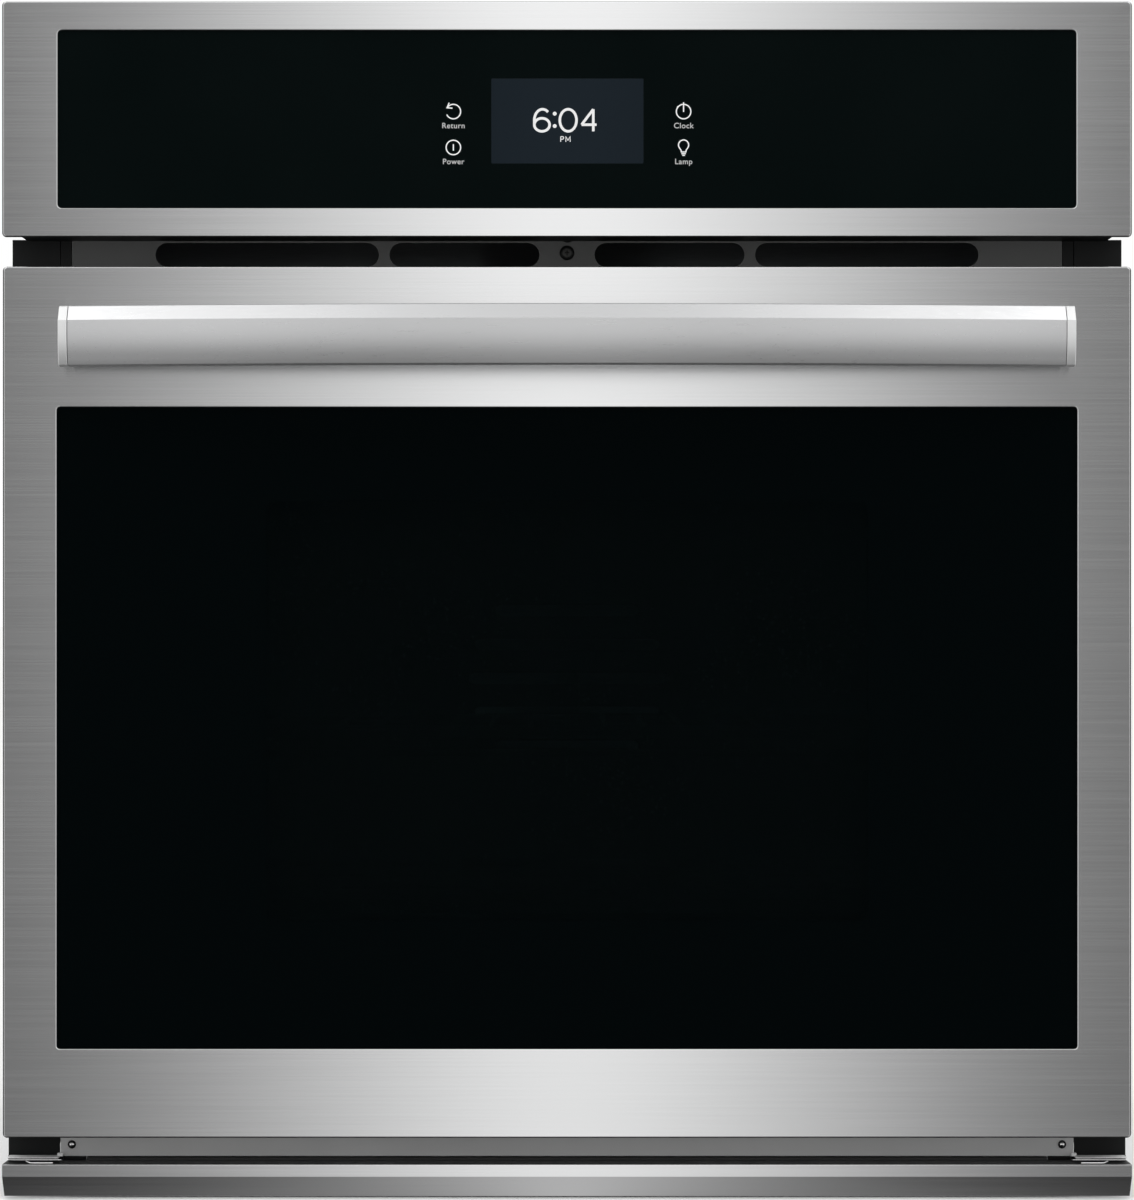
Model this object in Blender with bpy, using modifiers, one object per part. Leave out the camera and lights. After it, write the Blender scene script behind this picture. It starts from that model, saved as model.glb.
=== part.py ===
"""A built-in single wall oven, 27-inch class, as separate parts at rest with its door closed.

Units are metres. +X is to the right as one faces the door, the front faces -Y and +Z is up.
The origin is the centre of the bottom of the whole oven's box. Depths are measured from the
door's front face towards the rear, and at() turns a depth into a Y coordinate.
"""

import math

import bmesh
import bpy
from mathutils import Matrix, Vector

# Overall sizes
WIDTH = 0.6858
HEIGHT = 0.7270
DEPTH = 0.6750
HANDLE_REACH = 0.0530
FACE_Y = -DEPTH / 2 + HANDLE_REACH
GAP = 0.0003

# The cabinet's front plane and the chassis behind it
CABINET_DEPTH = 0.0345
REAR_DEPTH = 0.6100
CHASSIS_HALF = 0.3110
CHASSIS_TOP = 0.7000
SHEET = 0.0012
HEAVY_SHEET = 0.0015

# The control panel above the door, and its window
PANEL_BOTTOM = 0.5838
PANEL_DEPTH = 0.0325
PANEL_WINDOW = ((-0.3092, 0.3092), (0.6014, 0.7095))

# The door and its pivot
DOOR_HALF = 0.3425
DOOR_BOTTOM = 0.0370
DOOR_TOP = 0.5659
DOOR_REAR = 0.0295
DOOR_WINDOW = ((-0.3098, 0.3098), (0.0910, 0.4807))
PIVOT_DEPTH = 0.0165
PIVOT_Z = 0.0515
HINGE_X = 0.2870

# The oven cavity, measured inside
CAVITY_HALF = 0.2780
CAVITY_BOTTOM = 0.0880
CAVITY_TOP = 0.5280
CAVITY_FRONT = 0.0410
CAVITY_REAR = 0.4960
CAVITY_MID_Z = (CAVITY_BOTTOM + CAVITY_TOP) / 2

# The racks and the rib levels that carry them
LOWER_RACK_Z = 0.1786
LEVEL_PITCH = 0.0511
UPPER_RACK_Z = LOWER_RACK_Z + 2 * LEVEL_PITCH
RACK_RIM_R = 0.0030

# The cooling blower above the cavity
BLOWER_DEPTH = 0.4150
VENT_Z = (0.5680, 0.5828)

# The door latch and the door switch, both behind the top of the cavity's front frame
LATCH_X = -0.0100
LATCH_DEPTH = 0.0620
LATCH_Z = 0.5495
SWITCH_X = 0.0750

PAINTS = {
    "stainless": ((0.60, 0.60, 0.61), 0.28, 1.0),
    "black_steel": ((0.02, 0.02, 0.022), 0.5, 0.0),
    "dark_grey_steel": ((0.05, 0.05, 0.052), 0.45, 0.3),
    "galvanised": ((0.48, 0.50, 0.51), 0.45, 1.0),
    "enamel": ((0.035, 0.038, 0.045), 0.25, 0.0),
    "black_glass": ((0.004, 0.006, 0.007), 0.04, 0.0),
    "clear_glass": ((0.55, 0.60, 0.58), 0.03, 0.0),
    "display": ((0.012, 0.016, 0.021), 0.2, 0.0),
    "circuit_board": ((0.02, 0.16, 0.07), 0.5, 0.0),
    "dark_plastic": ((0.03, 0.03, 0.032), 0.5, 0.0),
    "white_ceramic": ((0.80, 0.78, 0.72), 0.5, 0.0),
    "rack_wire": ((0.66, 0.66, 0.67), 0.22, 1.0),
    "heater": ((0.09, 0.085, 0.08), 0.5, 0.6),
    "spring_steel": ((0.35, 0.35, 0.36), 0.35, 1.0),
    "gasket_braid": ((0.22, 0.21, 0.20), 0.8, 0.0),
    "mineral_wool": ((0.74, 0.70, 0.55), 0.95, 0.0),
}


def at(depth):
    """The Y coordinate of a depth behind the door's front face."""
    return FACE_Y + depth


# ---- Scene, collections and materials


def clear_scene():
    for obj in list(bpy.data.objects):
        bpy.data.objects.remove(obj, do_unlink=True)


def new_collection(name):
    collection = bpy.data.collections.new(name)
    bpy.context.scene.collection.children.link(collection)
    return collection


def new_material(name, colour, roughness, metallic):
    material = bpy.data.materials.new(name)
    material.use_nodes = True
    shader = material.node_tree.nodes["Principled BSDF"]
    shader.inputs["Base Color"].default_value = (*colour, 1.0)
    shader.inputs["Roughness"].default_value = roughness
    shader.inputs["Metallic"].default_value = metallic
    return material


clear_scene()
PARTS = new_collection("wall_oven")
CUTTERS = new_collection("cutters")
MATERIALS = {name: new_material(name, *values) for name, values in PAINTS.items()}


# ---- Shapes. A shape with no paint is a cutter or a helper for a join


def place(name, data, paint):
    obj = bpy.data.objects.new(name, data)
    if paint:
        PARTS.objects.link(obj)
        data.materials.append(MATERIALS[paint])
    else:
        CUTTERS.objects.link(obj)
        hide_helper(obj)
    return obj


def hide_helper(obj):
    obj.hide_render = True
    obj.display_type = "WIRE"


def mesh_from(name, build):
    mesh = bpy.data.meshes.new(name)
    build.to_mesh(mesh)
    build.free()
    return mesh


def smooth(mesh, angle=40):
    mesh.shade_smooth()
    mesh.set_sharp_from_angle(angle=math.radians(angle))


def bevel_along(build, axis, radius, steps=2):
    """Rounds the edges of a box that run along one axis (0, 1 or 2)."""
    edges = []
    for edge in build.edges:
        run = edge.verts[1].co - edge.verts[0].co
        if abs(run[axis]) > 0.999 * run.length:
            edges.append(edge)
    bmesh.ops.bevel(
        build,
        geom=edges,
        offset=radius,
        offset_type="OFFSET",
        segments=steps,
        profile=0.5,
        affect="EDGES",
    )


def box_mesh(size, corner=0.0, corner_axis=1):
    build = bmesh.new()
    bmesh.ops.create_cube(build, size=1.0)
    bmesh.ops.scale(build, vec=size, verts=build.verts)
    if corner:
        bevel_along(build, corner_axis, corner)
    return build


def centre_of(x, depth, z):
    return Vector((sum(x) / 2, at(sum(depth) / 2), sum(z) / 2))


def size_of(x, depth, z):
    return Vector((x[1] - x[0], depth[1] - depth[0], z[1] - z[0]))


def box(name, x, depth, z, paint=None, corner=0.0, corner_axis=1):
    """A box between two x, two depths and two heights, with the edges along one axis rounded."""
    build = box_mesh(size_of(x, depth, z), corner, corner_axis)
    obj = place(name, mesh_from(name, build), paint)
    obj.location = centre_of(x, depth, z)
    return obj


OPEN_SIDES = {
    "front": Vector((0, -1, 0)),
    "rear": Vector((0, 1, 0)),
    "top": Vector((0, 0, 1)),
    "bottom": Vector((0, 0, -1)),
}


def tray(name, x, depth, z, wall, open_sides, paint=None, corner=0.0, corner_axis=1):
    """A sheet-metal box with one or more sides left open and its walls inside the given sizes."""
    build = box_mesh(size_of(x, depth, z), corner, corner_axis)
    ways = [OPEN_SIDES[side] for side in open_sides]
    gone = [f for f in build.faces if any(f.normal.dot(way) > 0.99 for way in ways)]
    bmesh.ops.delete(build, geom=gone, context="FACES")
    obj = place(name, mesh_from(name, build), paint)
    obj.location = centre_of(x, depth, z)
    shell = obj.modifiers.new("wall", "SOLIDIFY")
    shell.thickness = wall
    shell.offset = -1
    shell.use_even_offset = True
    return obj


def bent_sheet(name, path, x, thickness, paint=None, side=1):
    """A sheet bent along a path of (depth, z) points, running from one x to the other."""
    build = bmesh.new()
    edges = []
    for start in x:
        edges.append([build.verts.new((start, at(depth), z)) for depth, z in path])
    near, far = edges
    for i in range(len(path) - 1):
        build.faces.new((near[i], near[i + 1], far[i + 1], far[i]))
    obj = place(name, mesh_from(name, build), paint)
    shell = obj.modifiers.new("sheet", "SOLIDIFY")
    shell.thickness = thickness
    shell.offset = side
    shell.use_even_offset = True
    return obj


TURNS = {
    "up": Matrix.Identity(4),
    "front": Matrix.Rotation(math.pi / 2, 4, "X"),
    "right": Matrix.Rotation(math.pi / 2, 4, "Y"),
}


def cylinder(name, x, depth, z, radius, length, way="up", sides=16, paint=None):
    """A cylinder centred at a place, with its axis upwards, to the front or to the right."""
    build = bmesh.new()
    bmesh.ops.create_cone(
        build,
        cap_ends=True,
        segments=sides,
        radius1=radius,
        radius2=radius,
        depth=length,
    )
    mesh = mesh_from(name, build)
    smooth(mesh)
    obj = place(name, mesh, paint)
    obj.rotation_euler = TURNS[way].to_euler()
    obj.location = (x, at(depth), z)
    return obj


def turned(name, profile, x, depth, z, way="up", sides=20, paint=None, ring=False):
    """A turned piece. The profile's (radius, height) points run down its outer side."""
    build = bmesh.new()
    points = [build.verts.new((radius, 0, height)) for radius, height in profile]
    for first, second in zip(points, points[1:]):
        build.edges.new((first, second))
    if ring:
        build.edges.new((points[-1], points[0]))
    obj = place(name, mesh_from(name, build), paint)
    obj.rotation_euler = TURNS[way].to_euler()
    obj.location = (x, at(depth), z)
    screw = obj.modifiers.new("turn", "SCREW")
    screw.steps = sides
    screw.render_steps = sides
    screw.use_merge_vertices = True
    screw.merge_threshold = 0.0001
    screw.use_smooth_shade = False
    return obj


def new_curve(name, dimensions, splines, cyclic):
    curve = bpy.data.curves.new(name, "CURVE")
    curve.dimensions = dimensions
    for points in splines:
        spline = curve.splines.new("POLY")
        spline.points.add(len(points) - 1)
        for spot, point in zip(spline.points, points):
            spot.co = (*point, 1.0)
        spline.use_cyclic_u = cyclic
    return curve


# The rotation that turns a flat outline to face the front, a side or the top
PLANES = {
    "front": (math.pi / 2, 0, 0),
    "side": (math.pi / 2, 0, math.pi / 2),
    "flat": (0, 0, 0),
}


def plate(name, plane, outlines, near, thickness, paint=None):
    """A flat plate: the first outline is its edge and the others are holes.

    A front plate's points are (x, z), a side plate's (depth, z) and a flat one's (x, depth).
    """
    if plane == "front":
        flat = [[(u, v, 0) for u, v in outline] for outline in outlines]
        middle = (0, at(near + thickness / 2), 0)
    elif plane == "side":
        flat = [[(at(u), v, 0) for u, v in outline] for outline in outlines]
        middle = (near + thickness / 2, 0, 0)
    else:
        flat = [[(u, at(v), 0) for u, v in outline] for outline in outlines]
        middle = (0, 0, near + thickness / 2)
    curve = new_curve(name, "2D", flat, cyclic=True)
    curve.fill_mode = "BOTH"
    curve.extrude = thickness / 2
    obj = place(name, curve, paint)
    obj.rotation_euler = PLANES[plane]
    obj.location = middle
    return obj


def tube(name, points, radius, paint=None, fineness=1, closed=False):
    """A round bar of 2 x (fineness + 2) sides along (x, depth, z) points, with filled ends."""
    spots = [(x, at(depth), z) for x, depth, z in points]
    curve = new_curve(name, "3D", [spots], cyclic=closed)
    curve.bevel_depth = radius
    curve.bevel_resolution = fineness
    curve.use_fill_caps = not closed
    return place(name, curve, paint)


def as_mesh(obj):
    """Makes a curve object a mesh with its caps welded, so that it can be cut or joined."""
    bpy.context.view_layer.update()
    graph = bpy.context.evaluated_depsgraph_get()
    mesh = bpy.data.meshes.new_from_object(obj.evaluated_get(graph))
    build = bmesh.new()
    build.from_mesh(mesh)
    bmesh.ops.remove_doubles(build, verts=build.verts, dist=1e-6)
    build.to_mesh(mesh)
    build.free()
    smooth(mesh)
    name = obj.name
    matrix = obj.matrix_world.copy()
    homes = list(obj.users_collection)
    helper = obj.hide_render
    bpy.data.objects.remove(obj)
    made = bpy.data.objects.new(name, mesh)
    made.matrix_world = matrix
    for home in homes:
        home.objects.link(made)
    if helper:
        hide_helper(made)
    return made


def group(name, pieces):
    """One helper mesh of pieces that don't touch each other, for a single Boolean."""
    bpy.context.view_layer.update()
    graph = bpy.context.evaluated_depsgraph_get()
    build = bmesh.new()
    for piece in pieces:
        mesh = bpy.data.meshes.new_from_object(piece.evaluated_get(graph))
        mesh.transform(piece.matrix_world)
        build.from_mesh(mesh)
        bpy.data.meshes.remove(mesh)
        bpy.data.objects.remove(piece)
    bmesh.ops.remove_doubles(build, verts=build.verts, dist=1e-6)
    return place(name, mesh_from(name, build), None)


def combine(operation, obj, others):
    for other in others:
        step = obj.modifiers.new(other.name, "BOOLEAN")
        step.operation = operation
        step.solver = "EXACT"
        step.object = other
    return obj


def cut(obj, *cutters):
    return combine("DIFFERENCE", obj, cutters)


def join(obj, *others):
    return combine("UNION", obj, others)


# ---- Outlines


def rectangle(u, v):
    return [(u[0], v[0]), (u[1], v[0]), (u[1], v[1]), (u[0], v[1])]


def arc(centre, radius, start, end, steps):
    """Points on an arc, both ends included. The angles are in degrees."""
    points = []
    for i in range(steps + 1):
        angle = math.radians(start + (end - start) * i / steps)
        u = centre[0] + radius * math.cos(angle)
        v = centre[1] + radius * math.sin(angle)
        points.append((u, v))
    return points


def rounded_rectangle(u, v, radius, steps=3):
    corners = (
        ((u[1] - radius, v[1] - radius), 0),
        ((u[0] + radius, v[1] - radius), 90),
        ((u[0] + radius, v[0] + radius), 180),
        ((u[1] - radius, v[0] + radius), 270),
    )
    points = []
    for centre, start in corners:
        points += arc(centre, radius, start, start + 90, steps)
    return points


def circle(centre, radius, sides=12):
    return arc(centre, radius, 0, 360, sides)[:-1]


def stadium(u, v, steps=5):
    """A slot with round ends, between two u and two v, along its longer side."""
    long_u = u[1] - u[0] > v[1] - v[0]
    radius = min(u[1] - u[0], v[1] - v[0]) / 2
    mid_u = sum(u) / 2
    mid_v = sum(v) / 2
    if long_u:
        right = arc((u[1] - radius, mid_v), radius, -90, 90, steps)
        left = arc((u[0] + radius, mid_v), radius, 90, 270, steps)
        return right + left
    upper = arc((mid_u, v[1] - radius), radius, 0, 180, steps)
    lower = arc((mid_u, v[0] + radius), radius, 180, 360, steps)
    return upper + lower


def rounded_path(points, radius, steps=3, closed=False):
    """A path of straight runs whose corners are turned with a radius."""
    corners = [Vector(point) for point in points]
    count = len(corners)
    path = []
    for i, corner in enumerate(corners):
        if not closed and i in (0, count - 1):
            path.append(tuple(corner))
            continue
        before = (corners[i - 1] - corner).normalized()
        after = (corners[(i + 1) % count] - corner).normalized()
        half = before.angle(after) / 2
        middle = corner + (before + after).normalized() * radius / math.sin(half)
        start = (corner + before * radius / math.tan(half) - middle).normalized()
        end = (corner + after * radius / math.tan(half) - middle).normalized()
        for step in range(steps + 1):
            path.append(tuple(middle + start.slerp(end, step / steps) * radius))
    return path


SIDES = (("left", -1), ("right", 1))


def spread(side, low, high):
    """An x range at the right, or its mirror image at the left."""
    return (low, high) if side > 0 else (-high, -low)


# ---- Chassis


def make_chassis():
    side_depth = (CABINET_DEPTH + GAP, REAR_DEPTH - SHEET - GAP)
    side_z = (0.0040, CHASSIS_TOP - SHEET - GAP)
    inside = CHASSIS_HALF - SHEET
    tray(
        "base_pan",
        (-inside + GAP, inside - GAP),
        (0.0365, side_depth[1]),
        (0, 0.030),
        HEAVY_SHEET,
        ["top"],
        "galvanised",
    )
    louvres = []
    for row in range(5):
        low = 0.610 + 0.015 * row
        louvres.append(stadium((0.420, 0.560), (low, low + 0.005)))
    for label, side in SIDES:
        near = inside if side > 0 else -CHASSIS_HALF
        outlines = [rectangle(side_depth, side_z)] + louvres
        plate(label + "_side_panel", "side", outlines, near, SHEET, "galvanised")

    slots = []
    for row in range(3):
        for column in range(4):
            low_x = -0.26 + 0.080 * column
            low_z = 0.615 + 0.022 * row
            slots.append(stadium((low_x, low_x + 0.050), (low_z, low_z + 0.006), 3))
    slots.append(circle((0.200, 0.645), 0.012))
    outline = rectangle((-CHASSIS_HALF, CHASSIS_HALF), side_z)
    plate("rear_panel", "front", [outline] + slots, REAR_DEPTH - SHEET, SHEET, "galvanised")

    slots = []
    for column in range(7):
        low_x = -0.24 + 0.045 * column
        slots.append(stadium((low_x, low_x + 0.007), (0.480, 0.560), 3))
    slots.append(circle((0.200, 0.550), 0.011))
    outline = rectangle((-CHASSIS_HALF, CHASSIS_HALF), (CABINET_DEPTH + GAP, REAR_DEPTH))
    plate("top_panel", "flat", [outline] + slots, CHASSIS_TOP - SHEET, SHEET, "galvanised")


def make_component_tray():
    """The deck above the cavity, bent up at the front to hold the control panel."""
    deck_z = 0.5888
    half = CHASSIS_HALF - SHEET - GAP
    path = [(0.6085, deck_z), (0.0348, deck_z), (0.0348, 0.6980)]
    deck = bent_sheet("component_tray", path, (-half, half), SHEET, "galvanised", side=1)
    blower_hole = cylinder("tray_blower_hole", 0, BLOWER_DEPTH, deck_z, 0.0870, 0.010, sides=32)
    wiring_hole = box("tray_wiring_hole", (-0.15, 0.15), (0.030, 0.040), (0.615, 0.685))
    cut(deck, blower_hole, wiring_hole)


def make_mounting_flanges():
    """Black angles down both sides: the face bears on the cabinet, the leg on the side panel."""
    face_near = CABINET_DEPTH - HEAVY_SHEET
    inner = CHASSIS_HALF + GAP
    for label, side in SIDES:
        face = [
            (inner, 0.0217),
            (WIDTH / 2, 0.0217),
            (WIDTH / 2, 0.5600),
            (0.3405, 0.5620),
            (0.3405, 0.5846),
            (0.3310, 0.5846),
            (0.3310, 0.6990),
            (inner, 0.6990),
        ]
        face = [(side * x, z) for x, z in face]
        holes = [circle((side * 0.3230, z), 0.0025, 8) for z in (0.060, 0.300, 0.540)]
        name = label + "_mounting_flange"
        flange = plate(name, "front", [face] + holes, face_near, HEAVY_SHEET, "black_steel")
        flange = as_mesh(flange)
        leg_x = spread(side, inner, inner + HEAVY_SHEET)
        leg = box(name + "_leg", leg_x, (face_near + 0.0002, 0.085), (0.0300, 0.6900))
        join(flange, leg)


STRIP_SCREW = (0.3040, 0.0289)


def make_lower_front():
    """The strip under the door, and the trim below it with two tabs behind the strip."""
    strip_near = CABINET_DEPTH - GAP - SHEET
    holes = [circle((side * STRIP_SCREW[0], STRIP_SCREW[1]), 0.0025, 8) for _, side in SIDES]
    outline = rectangle((-CHASSIS_HALF, CHASSIS_HALF), (0.0221, 0.0440))
    plate("lower_front_strip", "front", [outline] + holes, strip_near, SHEET, "dark_grey_steel")

    profile = [(0.0300, 0.0200), (0, 0.0208), (0, 0.0134), (0.0125, 0.0008)]
    ends = (-WIDTH / 2, WIDTH / 2)
    trim = bent_sheet("bottom_trim", profile, ends, SHEET, "stainless", side=-1)
    shelf_z = 0.0199
    for label, side in SIDES:
        path = [(0.0280, shelf_z), (0.0360, shelf_z), (0.0360, 0.0350)]
        reach = spread(side, 0.2955, 0.3092)
        tab = bent_sheet("trim_tab_" + label, path, reach, SHEET, side=-1)
        join(trim, tab)


def make_vent():
    """The slotted panel in the gap between door and control panel, and the duct behind it."""
    near = CABINET_DEPTH - GAP - SHEET
    outline = rectangle((-0.3040, 0.3040), (0.5610, 0.5905))
    openings = [circle((0, 0.5766), 0.0025, 8)]
    for _, side in SIDES:
        for low, high in ((0.0169, 0.1090), (0.1155, 0.2527)):
            openings.append(stadium(spread(side, low, high), VENT_Z, 8))
    plate("vent_panel", "front", [outline] + openings, near, SHEET, "dark_grey_steel")

    head = [
        (0, 0.0021),
        (0.0020, 0.0020),
        (0.0038, 0.0012),
        (0.0045, 0.0004),
        (0.0045, 0),
        (0.0018, 0),
        (0.0018, -0.0013),
        (0, -0.0013),
    ]
    turned("vent_screw", head, 0, near - GAP, 0.5766, "front", 16, "spring_steel")

    duct_depth = (CABINET_DEPTH + GAP, 0.3250)
    duct_z = (0.5615, 0.5875)
    duct = tray("air_duct", (-0.27, 0.27), duct_depth, duct_z, 0.0010, ["front"], "galvanised")
    inlet = box("duct_inlet", (-0.0560, 0.0560), (0.320, 0.330), (0.5650, 0.5840))
    cut(duct, inlet)


# ---- Control panel


def make_control_panel():
    bottom = PANEL_BOTTOM
    frame = tray(
        "control_panel_frame",
        (-WIDTH / 2, WIDTH / 2),
        (0, PANEL_DEPTH),
        (bottom, HEIGHT),
        SHEET,
        ["rear"],
        "stainless",
        corner=0.0025,
    )
    window = box(
        "control_window", PANEL_WINDOW[0], (-0.005, 0.010), PANEL_WINDOW[1], corner=0.0025
    )
    cut(frame, window)
    glass_near = SHEET + GAP
    glass_depth = (glass_near, glass_near + 0.0031)
    glass_z = (bottom + 0.0132, HEIGHT - 0.0130)
    box("control_glass", (-0.3130, 0.3130), glass_depth, glass_z, "black_glass")
    box("display_module", (-0.0470, 0.0470), (0.0050, 0.0130), (0.6275, 0.6810), "display")
    box("control_board", (-0.2000, 0.2000), (0.0133, 0.0149), (0.6100, 0.7000), "circuit_board")
    tray(
        "control_board_cover",
        (-0.2100, 0.2100),
        (0.0152, 0.0320),
        (0.6060, 0.7040),
        SHEET,
        ["front"],
        "galvanised",
    )


def make_rear_and_electrics():
    board = box("relay_board", (-0.26, -0.10), (0.20, 0.40), (0.5960, 0.5976), "circuit_board")
    blocks = []
    for x in (-0.25, -0.11):
        for depth in (0.21, 0.39):
            blocks.append(cylinder("board_post", x, depth, 0.5934, 0.003, 0.0062, sides=8))
    for column in range(4):
        low = -0.245 + 0.034 * column
        blocks.append(box("relay", (low, low + 0.024), (0.230, 0.262), (0.5970, 0.6180)))
    blocks.append(box("transformer", (-0.235, -0.185), (0.310, 0.365), (0.5970, 0.6300)))
    blocks.append(box("connector", (-0.160, -0.120), (0.360, 0.378), (0.5970, 0.6090)))
    join(board, group("relay_board_blocks", blocks))

    tray(
        "junction_cover",
        (0.130, 0.270),
        (REAR_DEPTH + GAP, DEPTH - HANDLE_REACH),
        (0.600, 0.690),
        SHEET,
        ["front"],
        "galvanised",
        corner=0.004,
    )
    nut_and_neck = [
        (0.0065, 0.0217),
        (0.0105, 0.0217),
        (0.0120, 0.0200),
        (0.0120, 0.0090),
        (0.0160, 0.0090),
        (0.0160, 0),
        (0.0065, 0),
    ]
    base_z = CHASSIS_TOP + GAP
    turned(
        "conduit_connector", nut_and_neck, 0.200, 0.550, base_z, "up", 16, "spring_steel", ring=True
    )


# ---- Cooling blower


def make_blower():
    wall = HEAVY_SHEET
    radius = 0.0850
    low = 0.5625
    high = 0.6225
    middle = (low + high) / 2
    housing = cylinder(
        "blower_housing", 0, BLOWER_DEPTH, middle, radius, high - low, sides=32, paint="galvanised"
    )
    snout = box("blower_snout", (-0.0530, 0.0530), (0.3265, 0.3500), (0.5665, 0.5825))
    snout_bore = box("blower_outlet", (-0.0515, 0.0515), (0.3200, 0.3550), (0.5680, 0.5810))
    hollow = cylinder(
        "blower_hollow", 0, BLOWER_DEPTH, middle, radius - wall, high - low - 2 * wall, sides=32
    )
    inlet = cylinder("blower_inlet", 0, BLOWER_DEPTH, high, 0.0550, 0.010, sides=24)
    join(housing, snout)
    cut(housing, hollow, snout_bore, inlet)

    wheel_low = 0.5685
    wheel_high = 0.6085
    shaft_top = 0.6340
    hub = [
        (0, shaft_top),
        (0.0030, shaft_top),
        (0.0030, wheel_low + 0.012),
        (0.0090, wheel_low + 0.009),
        (0.0090, wheel_low + SHEET),
        (0.0600, wheel_low + SHEET),
        (0.0600, wheel_low),
        (0, wheel_low),
    ]
    wheel = turned("blower_wheel", hub, 0, BLOWER_DEPTH, 0, "up", 24, "galvanised")
    rim_profile = [
        (0.0600, wheel_high),
        (0.0600, wheel_high - 0.002),
        (0.0470, wheel_high - 0.002),
        (0.0470, wheel_high),
    ]
    rim = turned("wheel_rim", rim_profile, 0, BLOWER_DEPTH, 0, "up", 24, ring=True)
    blades = []
    blade_count = 15
    blade_size = Vector((0.0110, 0.0010, wheel_high - wheel_low - 0.0020))
    for i in range(blade_count):
        angle = 2 * math.pi * i / blade_count
        blade = place("wheel_blade", mesh_from("wheel_blade", box_mesh(blade_size)), None)
        spot = Vector((0.0530 * math.cos(angle), 0.0530 * math.sin(angle), 0))
        blade.location = Vector((0, at(BLOWER_DEPTH), (wheel_low + wheel_high) / 2)) + spot
        blade.rotation_euler = (0, 0, angle + math.radians(35))
        blades.append(blade)
    join(wheel, group("wheel_blades", blades), rim)

    motor_low = 0.6280
    motor = cylinder(
        "blower_motor", 0, BLOWER_DEPTH, motor_low + 0.0200, 0.0280, 0.0400, paint="dark_plastic"
    )
    legs = []
    for i in range(3):
        angle = math.pi / 2 + 2 * math.pi * i / 3
        path = []
        for reach, z in ((0.0200, 0.6320), (0.0700, 0.6320), (0.0700, high + GAP)):
            depth = BLOWER_DEPTH + reach * math.sin(angle)
            path.append((reach * math.cos(angle), depth, z))
        legs.append(tube("motor_leg", path, 0.0028))
    bore = cylinder("motor_bore", 0, BLOWER_DEPTH, motor_low + 0.0035, 0.0034, 0.0080, sides=12)
    join(motor, group("motor_legs", legs))
    cut(motor, bore)


# ---- Cavity and what is in it


CONVECTION_HALF = 0.1500
ELEMENT_RING_R = 0.0980
ELEMENT_R = 0.0035
RING_LEG_X = 0.0120
BROIL_Z = 0.5050
BROIL_LEG_X = 0.0400
BAKE_Z = 0.0760
SENSOR = (0.1750, 0.4800)
LAMP = (-0.2150, 0.4550)


def ring_leg_z():
    return CAVITY_MID_Z + math.sqrt(ELEMENT_RING_R**2 - RING_LEG_X**2)


def make_cavity():
    wall = HEAVY_SHEET
    shell = tray(
        "oven_cavity",
        (-CAVITY_HALF - wall, CAVITY_HALF + wall),
        (CAVITY_FRONT + 0.0005, CAVITY_REAR + wall),
        (CAVITY_BOTTOM - wall, CAVITY_TOP + wall),
        wall,
        ["front"],
        "enamel",
        corner=0.0120,
    )
    frame_outline = rectangle((-0.3090, 0.3090), (0.0405, 0.5600))
    mouth = rounded_rectangle(
        (-CAVITY_HALF - 0.0003, CAVITY_HALF + 0.0003),
        (CAVITY_BOTTOM - 0.0003, CAVITY_TOP + 0.0003),
        0.0108,
        2,
    )
    latch_slot = rectangle((-0.0220, 0.0360), (0.5455, 0.5535))
    switch_hole = circle((SWITCH_X, LATCH_Z), 0.0045)
    outlines = [frame_outline, mouth, latch_slot, switch_hole]
    frame = as_mesh(plate("cavity_front_frame", "front", outlines, CAVITY_FRONT, wall))
    ribs = []
    for _, side in SIDES:
        for level in range(-1, 6):
            top = LOWER_RACK_Z + LEVEL_PITCH * level - RACK_RIM_R - GAP
            reach = spread(side, 0.2660, CAVITY_HALF + 0.0007)
            ribs.append(box("rib", reach, (0.060, 0.455), (top - 0.008, top)))
    rear = CAVITY_REAR + wall / 2
    holes = [cylinder("shaft_hole", 0, rear, CAVITY_MID_Z, 0.0080, 0.008, "front", 12)]
    holes.append(cylinder("lamp_hole", LAMP[0], rear, LAMP[1], 0.0150, 0.008, "front", 16))
    holes.append(cylinder("sensor_hole", SENSOR[0], rear, SENSOR[1], 0.0040, 0.008, "front", 8))
    for _, side in SIDES:
        reach = spread(side, HINGE_X - 0.0060, HINGE_X + 0.0060)
        holes.append(box("hinge_slot", reach, (0.036, 0.048), (0.0440, 0.0700)))
        for x, z in ((RING_LEG_X, ring_leg_z()), (BROIL_LEG_X, BROIL_Z)):
            holes.append(cylinder("element_hole", side * x, rear, z, 0.0050, 0.008, "front", 8))
    join(shell, frame, group("cavity_ribs", ribs))
    cut(shell, group("cavity_rear_holes", holes))


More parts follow.
